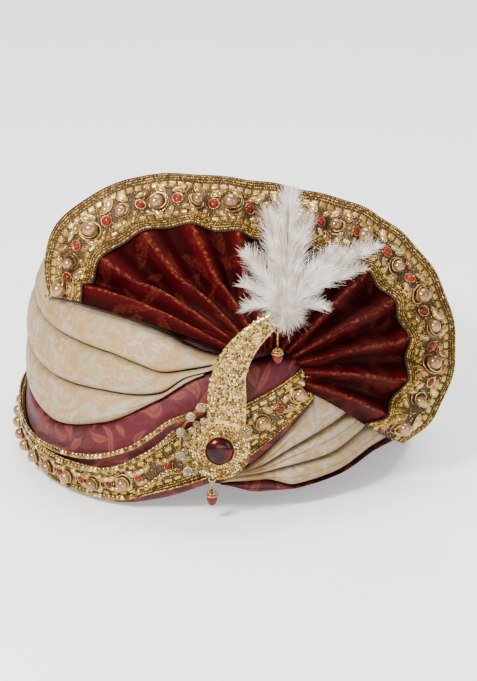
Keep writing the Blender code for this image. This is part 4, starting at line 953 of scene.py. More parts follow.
# %% The crown, wound in a spiral and open below for the head
CROWN_TURNS, CROWN_GROOVE, CROWN_CREASE, SHOULDER_EASE = 5.0, 1.4 * MM, 0.6 * MM, 12 * MM
TOP_DENT, PATTERN_SLANT = 0.6 * MM, 0.6
crown_azimuth = np.arange(0, 360, 2.0)
outer_shares = np.concatenate([np.linspace(0, 0.7, 8), 0.7 + 0.299 * np.linspace(0.03, 1, 46) ** 0.7])
lift = rim_lift_share(crown_azimuth) * WRAP_HEIGHT
outer_z = lift + (CROWN_HEIGHT - lift) * outer_shares[:, None]
outer_radius = crown_radius(crown_azimuth, outer_z)
turn = (outer_shares[:, None] * CROWN_TURNS * 3 + crown_azimuth / 360) % 1
over_shoulder = np.clip((outer_z - CROWN_SHOULDER) / SHOULDER_EASE, 0, 1)
creased = CROWN_CREASE * creases(crown_azimuth, turn, 3, 14, (0, 360))
sunk = over_shoulder * (CROWN_GROOVE * np.abs(2 * turn - 1) ** 3 + creased)
crown_outer = around(crown_azimuth, np.maximum(outer_radius - sunk, 0), outer_z - sunk * 0.6)
inner_shares = np.linspace(0.995, 0, 16)
inner_z = lift + (HEAD_HEIGHT - lift) * inner_shares[:, None]
crown_inner = around(crown_azimuth, head_radius(crown_azimuth, inner_z), inner_z)
top = np.repeat(np.array([[[0, 0, CROWN_HEIGHT - TOP_DENT]]]), len(crown_azimuth), axis=1)
hollow_top = np.repeat(np.array([[[0, 0, HEAD_HEIGHT]]]), len(crown_azimuth), axis=1)
crown_points = np.concatenate([hollow_top, crown_inner, crown_outer, top])
crown_quads = grid_corners(len(crown_points), len(crown_azimuth), wrap=True)
crown_uvs = (crown_points[..., :2] + PATTERN_SLANT * crown_points[..., 2:]).reshape(-1, 2)
crown_arrays = (crown_points, crown_quads.ravel(), np.full(len(crown_quads), 4))
crown = add_piece("crown_cloth", crown_arrays, crimson_finish, ["crown"], crown_uvs)

# %% [markdown]
# ## Pleated fan
# The stiffened end of the cloth stands up as a fan of thirteen knife pleats. A pleat has a crisp ridge and
# a softer valley, and it opens towards the rim, where the lace holds it nearly flat. The mesh stores how
# near each point is to a ridge, so that the silk can carry a painted highlight of red and gold on the ridges
# and painted shade in the valleys. The pleats run on behind the brooch's stem, further in than the CAD's
# solid, because that is where the real ones are gathered.

# %% Fan
FAN_COLUMNS_PER_PLEAT, FAN_ROWS, ROOT_TUCK = 22, 78, 0.5
PUCKER_DEPTH, FAN_CLOTH_HALF, RIDGE_FALL = 0.22 * MM, 0.55 * MM, 3


def pleat_angles(columns):
    """Angles over the whole fan, with the same number of columns in every pleat."""
    spans = [np.linspace(left, right, columns, endpoint=False) for left, right in zip(VALLEYS, VALLEYS[1:])]
    return np.concatenate([*spans, [FAN_END]])


fan_angles = pleat_angles(FAN_COLUMNS_PER_PLEAT)
fan_rows = np.linspace(0, 1, FAN_ROWS)[:, None]
root_share = ROOT_TUCK * fan_root_share(fan_angles)[None, :]
fan_shares = root_share + (1 - root_share) * fan_rows
fan_grid = np.broadcast_to(fan_angles, fan_shares.shape)
fan_middle = fan_point(fan_grid, fan_shares)
fan_out = unit(np.cross(np.gradient(fan_middle, axis=0), np.gradient(fan_middle, axis=1)))
puckers = np.sin(np.radians(fan_grid * 31) + 5 * fan_rows) + np.sin(np.radians(fan_grid * 53) - 9 * fan_rows)
pucker_depth = PUCKER_DEPTH * (1 - fan_rows) ** 0.7
fan_middle = fan_middle + fan_out * (pucker_depth * puckers)[..., None]
fan_half = fan_out * FAN_CLOTH_HALF
along_rim = np.interp(fan_angles, fine_angles, rim_run)
reach_out = np.linalg.norm(rim_point(fan_angles) - FAN_CENTRE, axis=-1)
fan_uv = np.stack([np.broadcast_to(along_rim, fan_shares.shape), fan_shares * reach_out], -1)
fan_arrays, fan_uvs = two_sided(fan_middle + fan_half, fan_middle - fan_half, fan_uv)
fan_piece = add_piece("fan_cloth", fan_arrays, fan_finish, ["fan"], fan_uvs)
# how near each point is to a ridge; the silk reads it for its painted ridge highlight and painted valley
# shade
ridge_values = np.clip(pleat_run(fan_grid)[0], 0, 1).ravel() ** RIDGE_FALL
attribute = fan_piece.data.attributes.new("ridge", "FLOAT", "POINT")
attribute.data.foreach_set("value", np.tile(ridge_values, 2).astype(np.float32))
# the silk is a flared panel: long at the rim, where the pleats open, and short at the root; this measures its
# length at the rim
rim_length = float(np.linalg.norm(np.diff(fan_middle[-1], axis=0), axis=-1).sum())
print("fan rim", round(rim_length / MM), "mm along its pleats")

# %% [markdown]
# ## Jewelled lace
# Both laces are the same work: a dark net, braids of tiny gold beads along both edges, a ribbon of woven
# patches, and between them pearls with leaf-shaped stones and red stones. Every part is placed by two
# numbers, how far along the lace and how far across it, so one set of functions dresses both laces.

# %% Where the laces lie
FAN_NET_LOW, FAN_NET_HIGH = 1.5 * MM, 3.0 * MM
BAND_NET_LOW, BAND_NET_HIGH = LACE_GAP, 2.1 * MM


def fan_lace_at(run, across, height):
    """A point over the fan's lace: run from its right end, across from its inside, height above the net."""
    angle = np.interp(np.clip(run, 0, 1) * FAN_RIM_LENGTH, rim_run, fine_angles)
    inset = FAN_LACE_MARGIN + FAN_LACE_WIDTH * (1 - across)
    angle, inset, height = np.broadcast_arrays(angle, inset, height)
    return fan_point(angle, lace_share(angle, inset), FAN_NET_HIGH + height)


band_azimuths = np.linspace(BAND[0][0], BAND[-1][0], 900)


def band_surface(azimuth, across, height):
    low, high = band_low_share(azimuth) * WRAP_HEIGHT, band_high_share(azimuth) * WRAP_HEIGHT
    z = low + (high - low) * across
    return around(azimuth, maroon_radius(azimuth, z) + height, z)


band_steps = np.linalg.norm(np.diff(band_surface(band_azimuths, 0.5, 0.0), axis=0), axis=-1)
band_run = np.concatenate([[0], np.cumsum(band_steps)])
BAND_LENGTH = float(band_run[-1])
BAND_WIDTH = 26 * MM


def band_at(run, across, height):
    """A point over the band's lace, in the same way."""
    azimuth = np.interp(np.clip(run, 0, 1) * BAND_LENGTH, band_run, band_azimuths)
    azimuth, across, height = np.broadcast_arrays(azimuth, across, height)
    return band_surface(azimuth, across, BAND_NET_HIGH + height)


def lace_frames(at, run, across, height):
    """Points over a lace, and rotations whose Z axes stand out of it and whose X axes run along it."""
    run, across, height = (np.atleast_1d(value) for value in np.broadcast_arrays(run, across, height))
    along = at(run + 0.004, across, height) - at(run - 0.004, across, height)
    up = at(run, np.minimum(across + 0.06, 1.0), height) - at(run, np.maximum(across - 0.06, 0.0), height)
    return at(run, across, height), turns_to(np.cross(up, along), along)


def turned_in_place(turns, degrees):
    """Rotations turned further round their own Z axes."""
    angle = np.radians(degrees)
    x = turns[..., 0] * np.cos(angle)[:, None] + turns[..., 1] * np.sin(angle)[:, None]
    return np.stack([x, np.cross(turns[..., 2], x), turns[..., 2]], -1)


# what each lace is placed by, its length and its width
LACES = {"fan": (fan_lace_at, FAN_RIM_LENGTH, FAN_LACE_WIDTH), "band": (band_at, BAND_LENGTH, BAND_WIDTH)}
print("band", round(BAND_LENGTH / MM), "mm long, fan lace", round(FAN_RIM_LENGTH / MM), "mm")

# %% Nets
NET_COLUMNS_PER_PLEAT, BAND_NET_COLUMNS, NET_ROWS = 14, 420, 13
net_angles = pleat_angles(NET_COLUMNS_PER_PLEAT)
fan_net_runs = (np.interp(net_angles, fine_angles, rim_run) / FAN_RIM_LENGTH)[None, :]
band_net_runs = np.linspace(0, 1, BAND_NET_COLUMNS)[None, :]
net_across = np.linspace(0, 1, NET_ROWS)[:, None]


def net_piece(lace, node_name, runs, low):
    """A net down to a low side. Lace comes as a straight ribbon, so its cut is a plain rectangle."""
    at, length, width = LACES[lace]
    runs, across = np.broadcast_arrays(runs, net_across)
    uv = np.stack([runs * length, across * width], -1)
    arrays, uvs = two_sided(at(runs, across, 0.0), at(runs, across, low), uv)
    made = add_piece(f"{lace}_lace_net", arrays, net_finish, [node_name], uvs)


net_piece("fan", "fan_lace", fan_net_runs, FAN_NET_LOW - FAN_NET_HIGH)
net_piece("band", "lace_band", band_net_runs, BAND_NET_LOW - BAND_NET_HIGH)

# %% Braids of gold beads
BEAD_STEP = 1.35 * MM
# rows of beads: (share across the lace, bead radius in mm)
FAN_BEAD_ROWS = (
    (0.976, 0.50), (0.932, 0.60), (0.888, 0.52), (0.733, 0.48), (0.280, 0.48), (0.172, 0.52),
    (0.128, 0.58), (0.084, 0.52), (0.036, 0.68),
)
BAND_BEAD_ROWS = (
    (0.985, 0.62), (0.925, 0.58), (0.775, 0.50), (0.265, 0.50), (0.130, 0.55), (0.075, 0.58), (0.015, 0.72),
)


def bead_rows(lace, rows, seed):
    """Rows of gold beads along a lace, each bead a little out of line as in hand work."""
    at, length, _ = LACES[lace]
    rng = np.random.default_rng(seed)
    parts = []
    for across, radius in rows:
        count = round(length / BEAD_STEP)
        run = (np.arange(count) + 0.5 + rng.uniform(-0.12, 0.12, count)) / count
        centres, turns = lace_frames(at, run, across + rng.uniform(-0.003, 0.003, count), radius * 0.6 * MM)
        sizes = radius * MM * rng.uniform(0.9, 1.12, (count, 1)) * np.array([1.15, 1.0, 1.0])
        parts.append(copies(BEAD, centres, turns, sizes))
    return merged(*parts)


for lace, rows, seed in (("fan", FAN_BEAD_ROWS, 5), ("band", BAND_BEAD_ROWS, 6)):
    add_piece(f"{lace}_lace_beads", bead_rows(lace, rows, seed), gold_bead_finish)

# %% Ribbons of woven patches
PATCH = spun_form([(0, -0.2), (1.42, -0.2), (1.42, 0.25), (1.10, 0.62), (0, 0.80)], 4, math.pi / 4)
# ribbons: (share across, half width in mm, patch length in mm)
FAN_RIBBONS = ((0.802, 1.75, 6.0), (0.228, 1.25, 6.5))
BAND_RIBBONS = ((0.850, 1.3, 7.0), (0.195, 1.1, 7.0))


def patch_ribbons(lace, ribbons, seed):
    """Ribbons of four-sided patches along a lace, each a little askew."""
    at, length, _ = LACES[lace]
    rng = np.random.default_rng(seed)
    parts = []
    for across, half_width, patch in ribbons:
        count = round(length / (patch * MM))
        run = (np.arange(count) + 0.5) / count
        centres, turns = lace_frames(at, run, across, 0.1 * MM)
        turns = turned_in_place(turns, rng.uniform(-6, 6, count))
        sizes = np.array([patch * 0.36, half_width, 0.6]) * MM * rng.uniform(0.88, 1.05, (count, 1))
        parts.append(copies(PATCH, centres, turns, sizes))
    return merged(*parts)


for lace, ribbons, seed in (("fan", FAN_RIBBONS, 7), ("band", BAND_RIBBONS, 8)):
    ribbon_arrays = patch_ribbons(lace, ribbons, seed)
    add_piece(f"{lace}_lace_patches", ribbon_arrays, patch_finish, smooth=False)

# %% [markdown]
# ## Pearls and set stones
# A pearl is sewn through the net inside a ring of twisted wire. Round it stand leaf-shaped foiled stones in
# gold rims, like ears above and below, and a red stone fills each gap. The pearls stand over the CAD's own
# pearls, let down until they sink a little into the net.

# %% Pearls and their wire rings
PEARL_BALL, PEARL_SINK = ball_form(14, 22), 0.3 * MM
FAN_PEARLS, BAND_PEARLS = 17, 11


def node_centre(name):
    low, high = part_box(name)
    return np.array((low + high) / 2) - AXIS, (high.z - low.z) / 2


def pearl_piece(lace, count, more=None):
    """Smooth pearls where the CAD's are and at further places, each let down onto the lace under it."""
    name, at = f"{lace}_pearls", LACES[lace][0]
    nodes = [f"{lace}_pearl_{i:02d}" for i in range(1, count + 1)]
    found = [node_centre(one) for one in nodes]
    centres = np.array([centre for centre, _ in found])
    radii = np.array([radius for _, radius in found])
    if more is not None:
        centres, radii = np.concatenate([centres, more]), np.append(radii, np.full(len(more), radii[0]))
    run, across = np.linspace(0, 1, 2400)[:, None], np.linspace(0, 1, 60)[None, :]
    net = at(run, across, np.zeros((1, 1))).reshape(-1, 3)
    under = np.array([net[np.argmin(np.linalg.norm(net - centre, axis=1))] for centre in centres])
    let_down = np.linalg.norm(centres - under, axis=1) - (radii - PEARL_SINK)
    centres = under + unit(centres - under) * (radii - PEARL_SINK)[:, None]
    print(name, "let down by", np.round(let_down.min() / MM, 2), "to", np.round(let_down.max() / MM, 2), "mm")
    turns = np.broadcast_to(np.eye(3), (len(centres), 3, 3))
    add_piece(name, copies(PEARL_BALL, centres, turns, radii), pearl_finish, nodes)
    return centres, radii


fan_pearl_centres, fan_pearl_radii = pearl_piece("fan", FAN_PEARLS)
# one more pearl between the first one and the brooch, which the photograph shows in part
BESIDE_BROOCH = np.array([-10.2])
beside_run = np.interp(BESIDE_BROOCH, band_azimuths, band_run) / BAND_LENGTH
band_pearl_centres, band_pearl_radii = pearl_piece("band", BAND_PEARLS, band_at(beside_run, 0.5, 4.5 * MM))

circle = np.linspace(0, 2 * np.pi, 28, endpoint=False)
ring_path = np.stack([np.cos(circle), np.sin(circle), 0.03 * np.sin(circle * 7)], -1)
WIRE_RING = tube(ring_path, 0.085, 5, closed=True)
LEAF_SIDES = 16
outline = np.linspace(0, 2 * np.pi, LEAF_SIDES, endpoint=False)
leaf_y = 0.50 * np.sign(np.sin(outline)) * np.abs(np.sin(outline)) ** 1.3
rim_path = np.stack([np.cos(outline) * 1.04, leaf_y * 1.1, 0 * leaf_y + 0.06], -1)
LEAF_RIM = tube(rim_path, 0.085, 5, closed=True)
leaf_rings = [(1.0, 0.0), (0.86, 0.22), (0.50, 0.36)]
leaf_points = [np.stack([np.cos(outline) * s, leaf_y * s, 0 * leaf_y + z], -1) for s, z in leaf_rings]
leaf_quads, leaf_base = grid_corners(len(leaf_rings), LEAF_SIDES, wrap=True), np.arange(LEAF_SIDES)
leaf_caps = np.concatenate([leaf_base + (len(leaf_rings) - 1) * LEAF_SIDES, leaf_base[::-1]])
leaf_counts = np.concatenate([np.full(len(leaf_quads), 4), [LEAF_SIDES, LEAF_SIDES]])
LEAF_STONE = (np.concatenate(leaf_points), np.concatenate([leaf_quads.ravel(), leaf_caps]), leaf_counts)

# %% Stones round each pearl
# leaf stones round a pearl: along and out in mm, turn in degrees, half length in mm
FAN_LEAVES = (
    (-5.2, 8.2, 128, 4.4), (5.2, 8.2, 52, 4.4), (-4.4, -8.2, -122, 3.9), (4.8, -8.2, -58, 3.9),
    (10.6, 6.8, 20, 3.6), (10.2, -6.6, -24, 3.4),
)
BAND_LEAVES = (
    (-4.8, 4.6, 132, 3.3), (4.8, 4.6, 48, 3.3), (-4.8, -4.6, -130, 3.1), (5.0, -4.6, -50, 3.1),
    (9.6, 3.8, 16, 3.0), (9.4, -3.8, -18, 2.8), (-9.6, 3.8, 162, 2.8),
)
# leaf stones stay between these shares of a lace's length and width
LEAVES_ALONG, LEAVES_ACROSS = (0.012, 0.986), (0.29, 0.71)


def lace_stones(lace, middle_runs, middle, leaves, ring_runs, ring_radii, red_runs, red_size, seed):
    """Leaf stones, wires with the leaves' rims, pearl rings and cups, and red stones, as three sets."""
    at, length, width = LACES[lace]
    rng = np.random.default_rng(seed)
    spots = [(run + along * MM / length, middle + out * MM / width, turn, size)
             for run in middle_runs for along, out, turn, size in leaves]
    run, across, turn, size = (np.array(column) for column in zip(*spots))
    keep = (run > LEAVES_ALONG[0]) & (run < LEAVES_ALONG[1])
    run, across, turn, size = run[keep], across[keep], turn[keep], size[keep]
    run = run + rng.uniform(-0.6, 0.6, len(run)) * MM / length
    centres, turns = lace_frames(at, run, np.clip(across, *LEAVES_ACROSS), 0.7 * MM)
    turns = turned_in_place(turns, turn + rng.uniform(-12, 12, len(turn)))
    sizes = size * MM * rng.uniform(0.88, 1.08, len(size))
    stones = copies(LEAF_STONE, centres, turns, sizes)
    wires = [copies(LEAF_RIM, centres, turns, sizes)]
    for grown, raised in ((1.05, 0.85), (1.36, 0.25)):
        ring_centres, ring_turns = lace_frames(at, ring_runs, middle, ring_radii * raised)
        wires.append(copies(WIRE_RING, ring_centres, ring_turns, ring_radii * grown))
    red_centres, red_turns = lace_frames(at, np.array(red_runs), middle, 0.9 * MM)
    reds = copies(CUT_STONE, red_centres, red_turns, red_size)
    wires.append(copies(CUP, red_centres, red_turns, red_size * 1.12))
    return stones, merged(*wires), reds


def loose_beads(lace, count, low, high, keep_from, clearance, seed):
    """Small gold beads scattered over the field of a lace, clear of the pearls."""
    at = LACES[lace][0]
    rng = np.random.default_rng(seed)
    run, across = rng.uniform(0.005, 0.995, count), rng.uniform(low, high, count)
    centres, turns = lace_frames(at, run, across, 0.3 * MM)
    apart = np.linalg.norm(centres[:, None] - keep_from[None], axis=-1).min(axis=1)
    kept = apart > clearance
    return copies(BEAD, centres[kept], turns[kept], rng.uniform(0.35, 0.75, kept.sum()) * MM)


FAN_PEARL_INSET = 21 * MM
fan_runs = (np.arange(FAN_PEARLS) + 0.5) / FAN_PEARLS
fan_middle_share = 1 - (FAN_PEARL_INSET - FAN_LACE_MARGIN) / FAN_LACE_WIDTH
fan_set = lace_stones(
    "fan", fan_runs, fan_middle_share, FAN_LEAVES, fan_runs, fan_pearl_radii,
    (fan_runs[1:-1] + fan_runs[2:]) / 2, 3.1 * MM, 15)
band_pearl_azimuths = np.concatenate([[-19.5, -10.2, -0.9, 8.4, 16.0], 23.5 + 8.6 * np.arange(25)])
band_runs = np.interp(band_pearl_azimuths, band_azimuths, band_run) / BAND_LENGTH
# wire rings go round the CAD's eleven pearls and the added one
band_ring_runs = np.concatenate([band_runs[[0]], band_runs[5:15], band_runs[[1]]])
band_set = lace_stones(
    "band", band_runs, 0.5, BAND_LEAVES, band_ring_runs, band_pearl_radii,
    (band_runs[:-1] + band_runs[1:]) / 2, 2.4 * MM, 16)
fan_loose = loose_beads("fan", 900, 0.30, 0.71, fan_pearl_centres, 8.0 * MM, 17)
band_loose = loose_beads("band", 1100, 0.29, 0.75, band_pearl_centres, 6.0 * MM, 18)
for lace, (stones, wires, reds), beads in (("fan", fan_set, fan_loose), ("band", band_set, band_loose)):
    add_piece(f"{lace}_leaf_stones", stones, leaf_finish)
    add_piece(f"{lace}_lace_wires", wires, gold_wire_finish)
    add_piece(f"{lace}_red_stones", reds, red_finish, smooth=False)
    add_piece(f"{lace}_loose_beads", beads, gold_bead_finish)

# %% [markdown]
# ## Brooch
# The brooch is a gold plate with a round head and a curved stem, covered with small foiled crystals. Each is
# cut with a table and a ring of facets and is tipped a little at random, and that makes the paving glitter.

# %% Brooch plane, plate and bezel
BROOCH_RADIUS, BROOCH_THICKNESS, BROOCH_STANDOFF, BROOCH_Z = 20 * MM, 2.5 * MM, 5.0 * MM, 49 * MM
BROOCH_LEAN = math.radians(4.0)
RUBY_RADIUS, WIRE_RADIUS, DROP_RADIUS = 9.0 * MM, 0.55 * MM, 3.6 * MM
GALLERY_RADIUS, PIN_RADIUS, EYE_RADIUS = 1.1 * MM, 3 * MM, 2
STEM = (
    (4, 12, 13.0), (5, 33, 12.6), (6, 49, 11.4), (10.5, 62, 10.2), (18, 73, 8.6), (27, 82, 7.0),
    (37, 90, 5.2),
)
# places in the brooch's plane in mm: the side stones, and the eyes that the drops hang from
SIDE_STONES = ((-12.2, 30.0), (-19.0, 23.5), (-25.5, 13.0), (-26.0, -3.0), (-21.0, -13.5))
DROP_EYES = ((-5.0, -20.4), (38.1, 81.9))
BROOCH_RIGHT = np.array([1.0, 0, 0])
BROOCH_NORMAL = np.array([0, -math.cos(BROOCH_LEAN), math.sin(BROOCH_LEAN)])
BROOCH_UP = np.array([0, math.sin(BROOCH_LEAN), math.cos(BROOCH_LEAN)])


def brooch_point(x, z, forward):
    """A point of the brooch, in metres from the ruby's middle in its own plane."""
    x, z, forward = np.broadcast_arrays(x, z, forward)
    front = BODY_HALF_DEPTH + LACE_GAP + LACE_THICKNESS + BROOCH_STANDOFF
    middle = np.array([0, -front, BROOCH_Z])
    in_plane = middle + x[..., None] * BROOCH_RIGHT + z[..., None] * BROOCH_UP
    return in_plane + forward[..., None] * BROOCH_NORMAL


def brooch_turns(count, degrees, seed):
    """Rotations that face out of the brooch, each tipped at random."""
    rng = np.random.default_rng(seed)
    tip = np.tan(np.radians(degrees)) * rng.normal(0, 0.6, (count, 2))
    normals = BROOCH_NORMAL + tip[:, :1] * BROOCH_RIGHT + tip[:, 1:] * BROOCH_UP
    turns = turns_to(normals, np.broadcast_to(BROOCH_RIGHT, (count, 3)))
    return turned_in_place(turns, rng.uniform(0, 360, count))


stem_run = np.concatenate([[0], np.cumsum(np.hypot(*np.diff([row[:2] for row in STEM], axis=0).T))])
stem_x, stem_z, stem_half = (curve_through(list(zip(stem_run, column))) for column in zip(*STEM))
STEM_LENGTH = float(stem_run[-1])


def stem_point(run, aside, forward):
    """A point of the stem: run along its middle line and aside to its right in mm, forward in metres."""
    x, z = stem_x(run), stem_z(run)
    dx, dz = stem_x(run + 0.5) - stem_x(run - 0.5), stem_z(run + 0.5) - stem_z(run - 0.5)
    size = np.maximum(np.hypot(dx, dz), 1e-6)
    return brooch_point((x + dz / size * aside) * MM, (z - dx / size * aside) * MM, forward)


head_profile = [
    (0, 0.0), (20.0, 0.0), (20.3, 0.6), (20.0, 1.6), (19.0, 2.3), (11.3, 3.7), (10.6, 4.6), (10.1, 5.2),
    (9.4, 5.2), (9.3, 3.0), (0, 2.6),
]
head_form = spun_form([(radius * MM, z * MM) for radius, z in head_profile], 72)
facing_out = turns_to(BROOCH_NORMAL[None], BROOCH_RIGHT[None])
head_arrays = copies(head_form, brooch_point(0, 0, 0.0)[None], facing_out, 1.0)
# the stem's section, as shares of its half width and of the plate's thickness
stem_section = np.array([
    (-1, 0), (1, 0), (1.0, 0.7), (0.93, 1.0), (0.5, 1.25), (0, 1.3), (-0.5, 1.25), (-0.93, 1.0), (-1, 0.7),
])
STEM_ROWS, STEM_SIDES = 60, len(stem_section)
stem_rows = np.linspace(0, STEM_LENGTH, STEM_ROWS)[:, None]
stem_aside, stem_forward = stem_section[:, 0] * stem_half(stem_rows), stem_section[:, 1] * BROOCH_THICKNESS
stem_grid = stem_point(stem_rows, stem_aside, stem_forward)
stem_quads, stem_end = grid_corners(STEM_ROWS, STEM_SIDES, wrap=True), np.arange(STEM_SIDES)
stem_caps = np.concatenate([stem_end[::-1], stem_end + (STEM_ROWS - 1) * STEM_SIDES])
stem_counts = np.concatenate([np.full(len(stem_quads), 4), [STEM_SIDES, STEM_SIDES]])
stem_arrays = (stem_grid.reshape(-1, 3), np.concatenate([stem_quads.ravel(), stem_caps]), stem_counts)
pin_path = np.array([brooch_point(0, -3 * MM, forward) for forward in (SEAT - BROOCH_STANDOFF, 0.5 * MM)])
gallery = [(-4.0, 31.5), *SIDE_STONES, (-13.5, -13.0)]
gallery_path = np.array([brooch_point(x * MM, z * MM, 1.3 * MM) for x, z in gallery])
eyes = []
for x, z in DROP_EYES:
    turned = np.linspace(0, 2 * np.pi, 20, endpoint=False)
    eye_x, eye_z = (x + EYE_RADIUS * np.cos(turned)) * MM, (z + EYE_RADIUS * np.sin(turned)) * MM
    eyes.append(tube(brooch_point(eye_x, eye_z, 1.2 * MM), WIRE_RADIUS, 8, closed=True))
plate_arrays = merged(
    head_arrays, stem_arrays, tube(pin_path, PIN_RADIUS, 24), tube(gallery_path, GALLERY_RADIUS, 10), *eyes)
add_piece("brooch_plate", plate_arrays, gold_wire_finish, ["brooch"], smooth=False)

# %% Paving of small crystals
rng = np.random.default_rng(31)
# rings of crystals on the round head: (distance out and crystal size in mm)
HEAD_RINGS = ((10.5, 0.75), (11.9, 0.95), (13.9, 1.0), (15.9, 1.0), (17.8, 1.0), (19.5, 0.9))
STEM_LINE, STEM_SPACING, EDGE_KEPT = 1.75, 2.0, 0.6
head_spots = []
for radius, size in HEAD_RINGS:
    count = round(2 * math.pi * radius / (size * 2.05))
    turned = 2 * np.pi * (np.arange(count) + rng.uniform(0, 1)) / count
    head_spots.append(np.stack([radius * np.cos(turned), radius * np.sin(turned), 0 * turned + size], -1))
head_spots = np.concatenate(head_spots)
head_reach = np.hypot(head_spots[:, 0], head_spots[:, 1])
head_forward = np.interp(head_reach, [10.6, 11.3, 19.0, 20.0], [5.3, 3.9, 2.6, 1.9]) * MM
head_centres = brooch_point(head_spots[:, 0] * MM, head_spots[:, 1] * MM, head_forward)
stem_spots = []
for line, run in enumerate(np.arange(4.0, STEM_LENGTH - 0.5, STEM_LINE)):
    half = float(stem_half(run)) - EDGE_KEPT
    ragged = half + rng.uniform(-0.9, 1.4)
    across = np.arange(-ragged, half, STEM_SPACING) + (line % 2) * STEM_SPACING / 2
    stem_spots += [
        (run + rng.uniform(-0.3, 0.3), aside + rng.uniform(-0.3, 0.3)) for aside in across if aside < half]
stem_spots = np.array(stem_spots)
share = np.abs(stem_spots[:, 1]) / stem_half(stem_spots[:, 0])
stem_forward = np.interp(share, [0, 0.5, 1.0], [1.38, 1.32, 0.95]) * BROOCH_THICKNESS
stem_centres = stem_point(stem_spots[:, 0], stem_spots[:, 1], stem_forward)
from_ruby = np.linalg.norm(stem_centres - brooch_point(0, 0, 3 * MM), axis=-1)
stem_centres = stem_centres[from_ruby > BROOCH_RADIUS + 0.4 * MM]
paving = np.concatenate([head_centres, stem_centres])
paving_sizes = np.concatenate([head_spots[:, 2], rng.uniform(0.78, 1.12, len(stem_centres))]) * MM
paving_turns = brooch_turns(len(paving), 20, 32)
crystal_arrays = copies(CUT_STONE, paving, paving_turns, paving_sizes)
add_piece("brooch_crystals", crystal_arrays, crystal_finish, smooth=False)
cup_arrays = copies(CUP, paving, paving_turns, paving_sizes)
add_piece("brooch_cups", cup_arrays, gold_wire_finish, smooth=False)
print(len(paving), "crystals")

# %% Ruby, side stones and a larger round crystal
ruby_finish = clouded(
    "ruby", 130.0, 0.0, (0.36, 0.66), (0.012, 0.0002, 0.0012), (0.070, 0.0004, 0.0026),
    Roughness=0.16, Specular_IOR_Level=0.2)
RUBY_CUT = [(0, 0.2), (0.98, 0.22), (1.0, 0.30), (0.90, 0.40), (0.74, 0.50), (0.55, 0.57), (0, 0.60)]
ruby_form = spun_form([(radius * RUBY_RADIUS, z * RUBY_RADIUS) for radius, z in RUBY_CUT], 16, math.pi / 16)
ruby_base = brooch_point(0, 0, BROOCH_THICKNESS + GAP)[None]
ruby_arrays = copies(ruby_form, ruby_base, facing_out, 1.0)
add_piece("ruby_stone", ruby_arrays, ruby_finish, ["ruby"], smooth=False)

clear_finish = clouded(
    "clear crystal", 260.0, 1.0, (0.4, 0.6), (0.28, 0.21, 0.09), (0.62, 0.53, 0.33),
    Roughness=0.05, Transmission_Weight=0.8, Coat_Weight=0.3, IOR=1.5)
SIDE_CUT = [(0, -0.5), (0.6, -0.42), (1.0, 0.0), (1.0, 0.22), (0.80, 0.52), (0.52, 0.72), (0, 0.72)]
SIDE_STONE = spun_form(SIDE_CUT, 12)
STONE_SIZE, PRONG_REACH, PRONG_RADIUS = 3.4 * MM, 3.45 * MM, 0.32 * MM
# a prong's foot, bend and tip: share of its reach, and height from the stone's middle
PRONG = ((0.75, -2.2 * MM), (1.06, 0.2 * MM), (0.90, 2.1 * MM))
side_names = [f"side_stone_{i}" for i in range(1, len(SIDE_STONES) + 1)]
side_centres = np.array([node_centre(name)[0] for name in side_names])
side_turns = np.repeat(facing_out, len(side_names), axis=0)
side_arrays = copies(SIDE_STONE, side_centres, side_turns, STONE_SIZE)
add_piece("side_crystals", side_arrays, clear_finish, side_names, smooth=False)
prong_parts = []
for turned in np.arange(6) * np.pi / 3:
    out = (math.cos(turned) * BROOCH_RIGHT + math.sin(turned) * BROOCH_UP) * PRONG_REACH
    for centre in side_centres:
        prong_path = np.array([centre + out * share + BROOCH_NORMAL * forward for share, forward in PRONG])
        prong_parts.append(tube(prong_path, PRONG_RADIUS, 6))
# the cluster of small stones beside the disc: directions in degrees, and two distances out in turn
CLUSTER = np.radians([118, 131, 144, 157, 170, 183, 196, 209, 222])
CLUSTER_REACH, CLUSTER_FORWARD, CLUSTER_SIZE, CLUSTER_CUP = (22.4, 23.2), 1.9 * MM, 2.0 * MM, 2.15 * MM
cluster_reach = np.where(np.arange(len(CLUSTER)) % 2 == 0, *CLUSTER_REACH) * MM
cluster_centres = brooch_point(
    cluster_reach * np.cos(CLUSTER), cluster_reach * np.sin(CLUSTER), CLUSTER_FORWARD)
cluster_turns = brooch_turns(len(CLUSTER), 10, 44)
prong_parts.append(copies(CUP, cluster_centres, cluster_turns, CLUSTER_CUP))
cluster_arrays = copies(SIDE_STONE, cluster_centres, cluster_turns, CLUSTER_SIZE)
add_piece("cluster_crystals", cluster_arrays, clear_finish, smooth=False)
round_centre = brooch_point(17.5 * MM, 13.5 * MM, 3.4 * MM)[None]
prong_parts.append(copies(CUP, round_centre, facing_out, 3.6 * MM))
add_piece("side_prongs", merged(*prong_parts), gold_wire_finish)
round_arrays = copies(SIDE_STONE, round_centre, facing_out, STONE_SIZE)
add_piece("round_crystal", round_arrays, clear_finish, smooth=False)

# %% [markdown]
# ## Drops and chains
# Each drop is a red bead in a cap of bent wires, on a wire hook. The chains are cup chain: a crystal every
# 3.6 millimetres, each in its own little cup, linked side by side so that it bends like a cord.

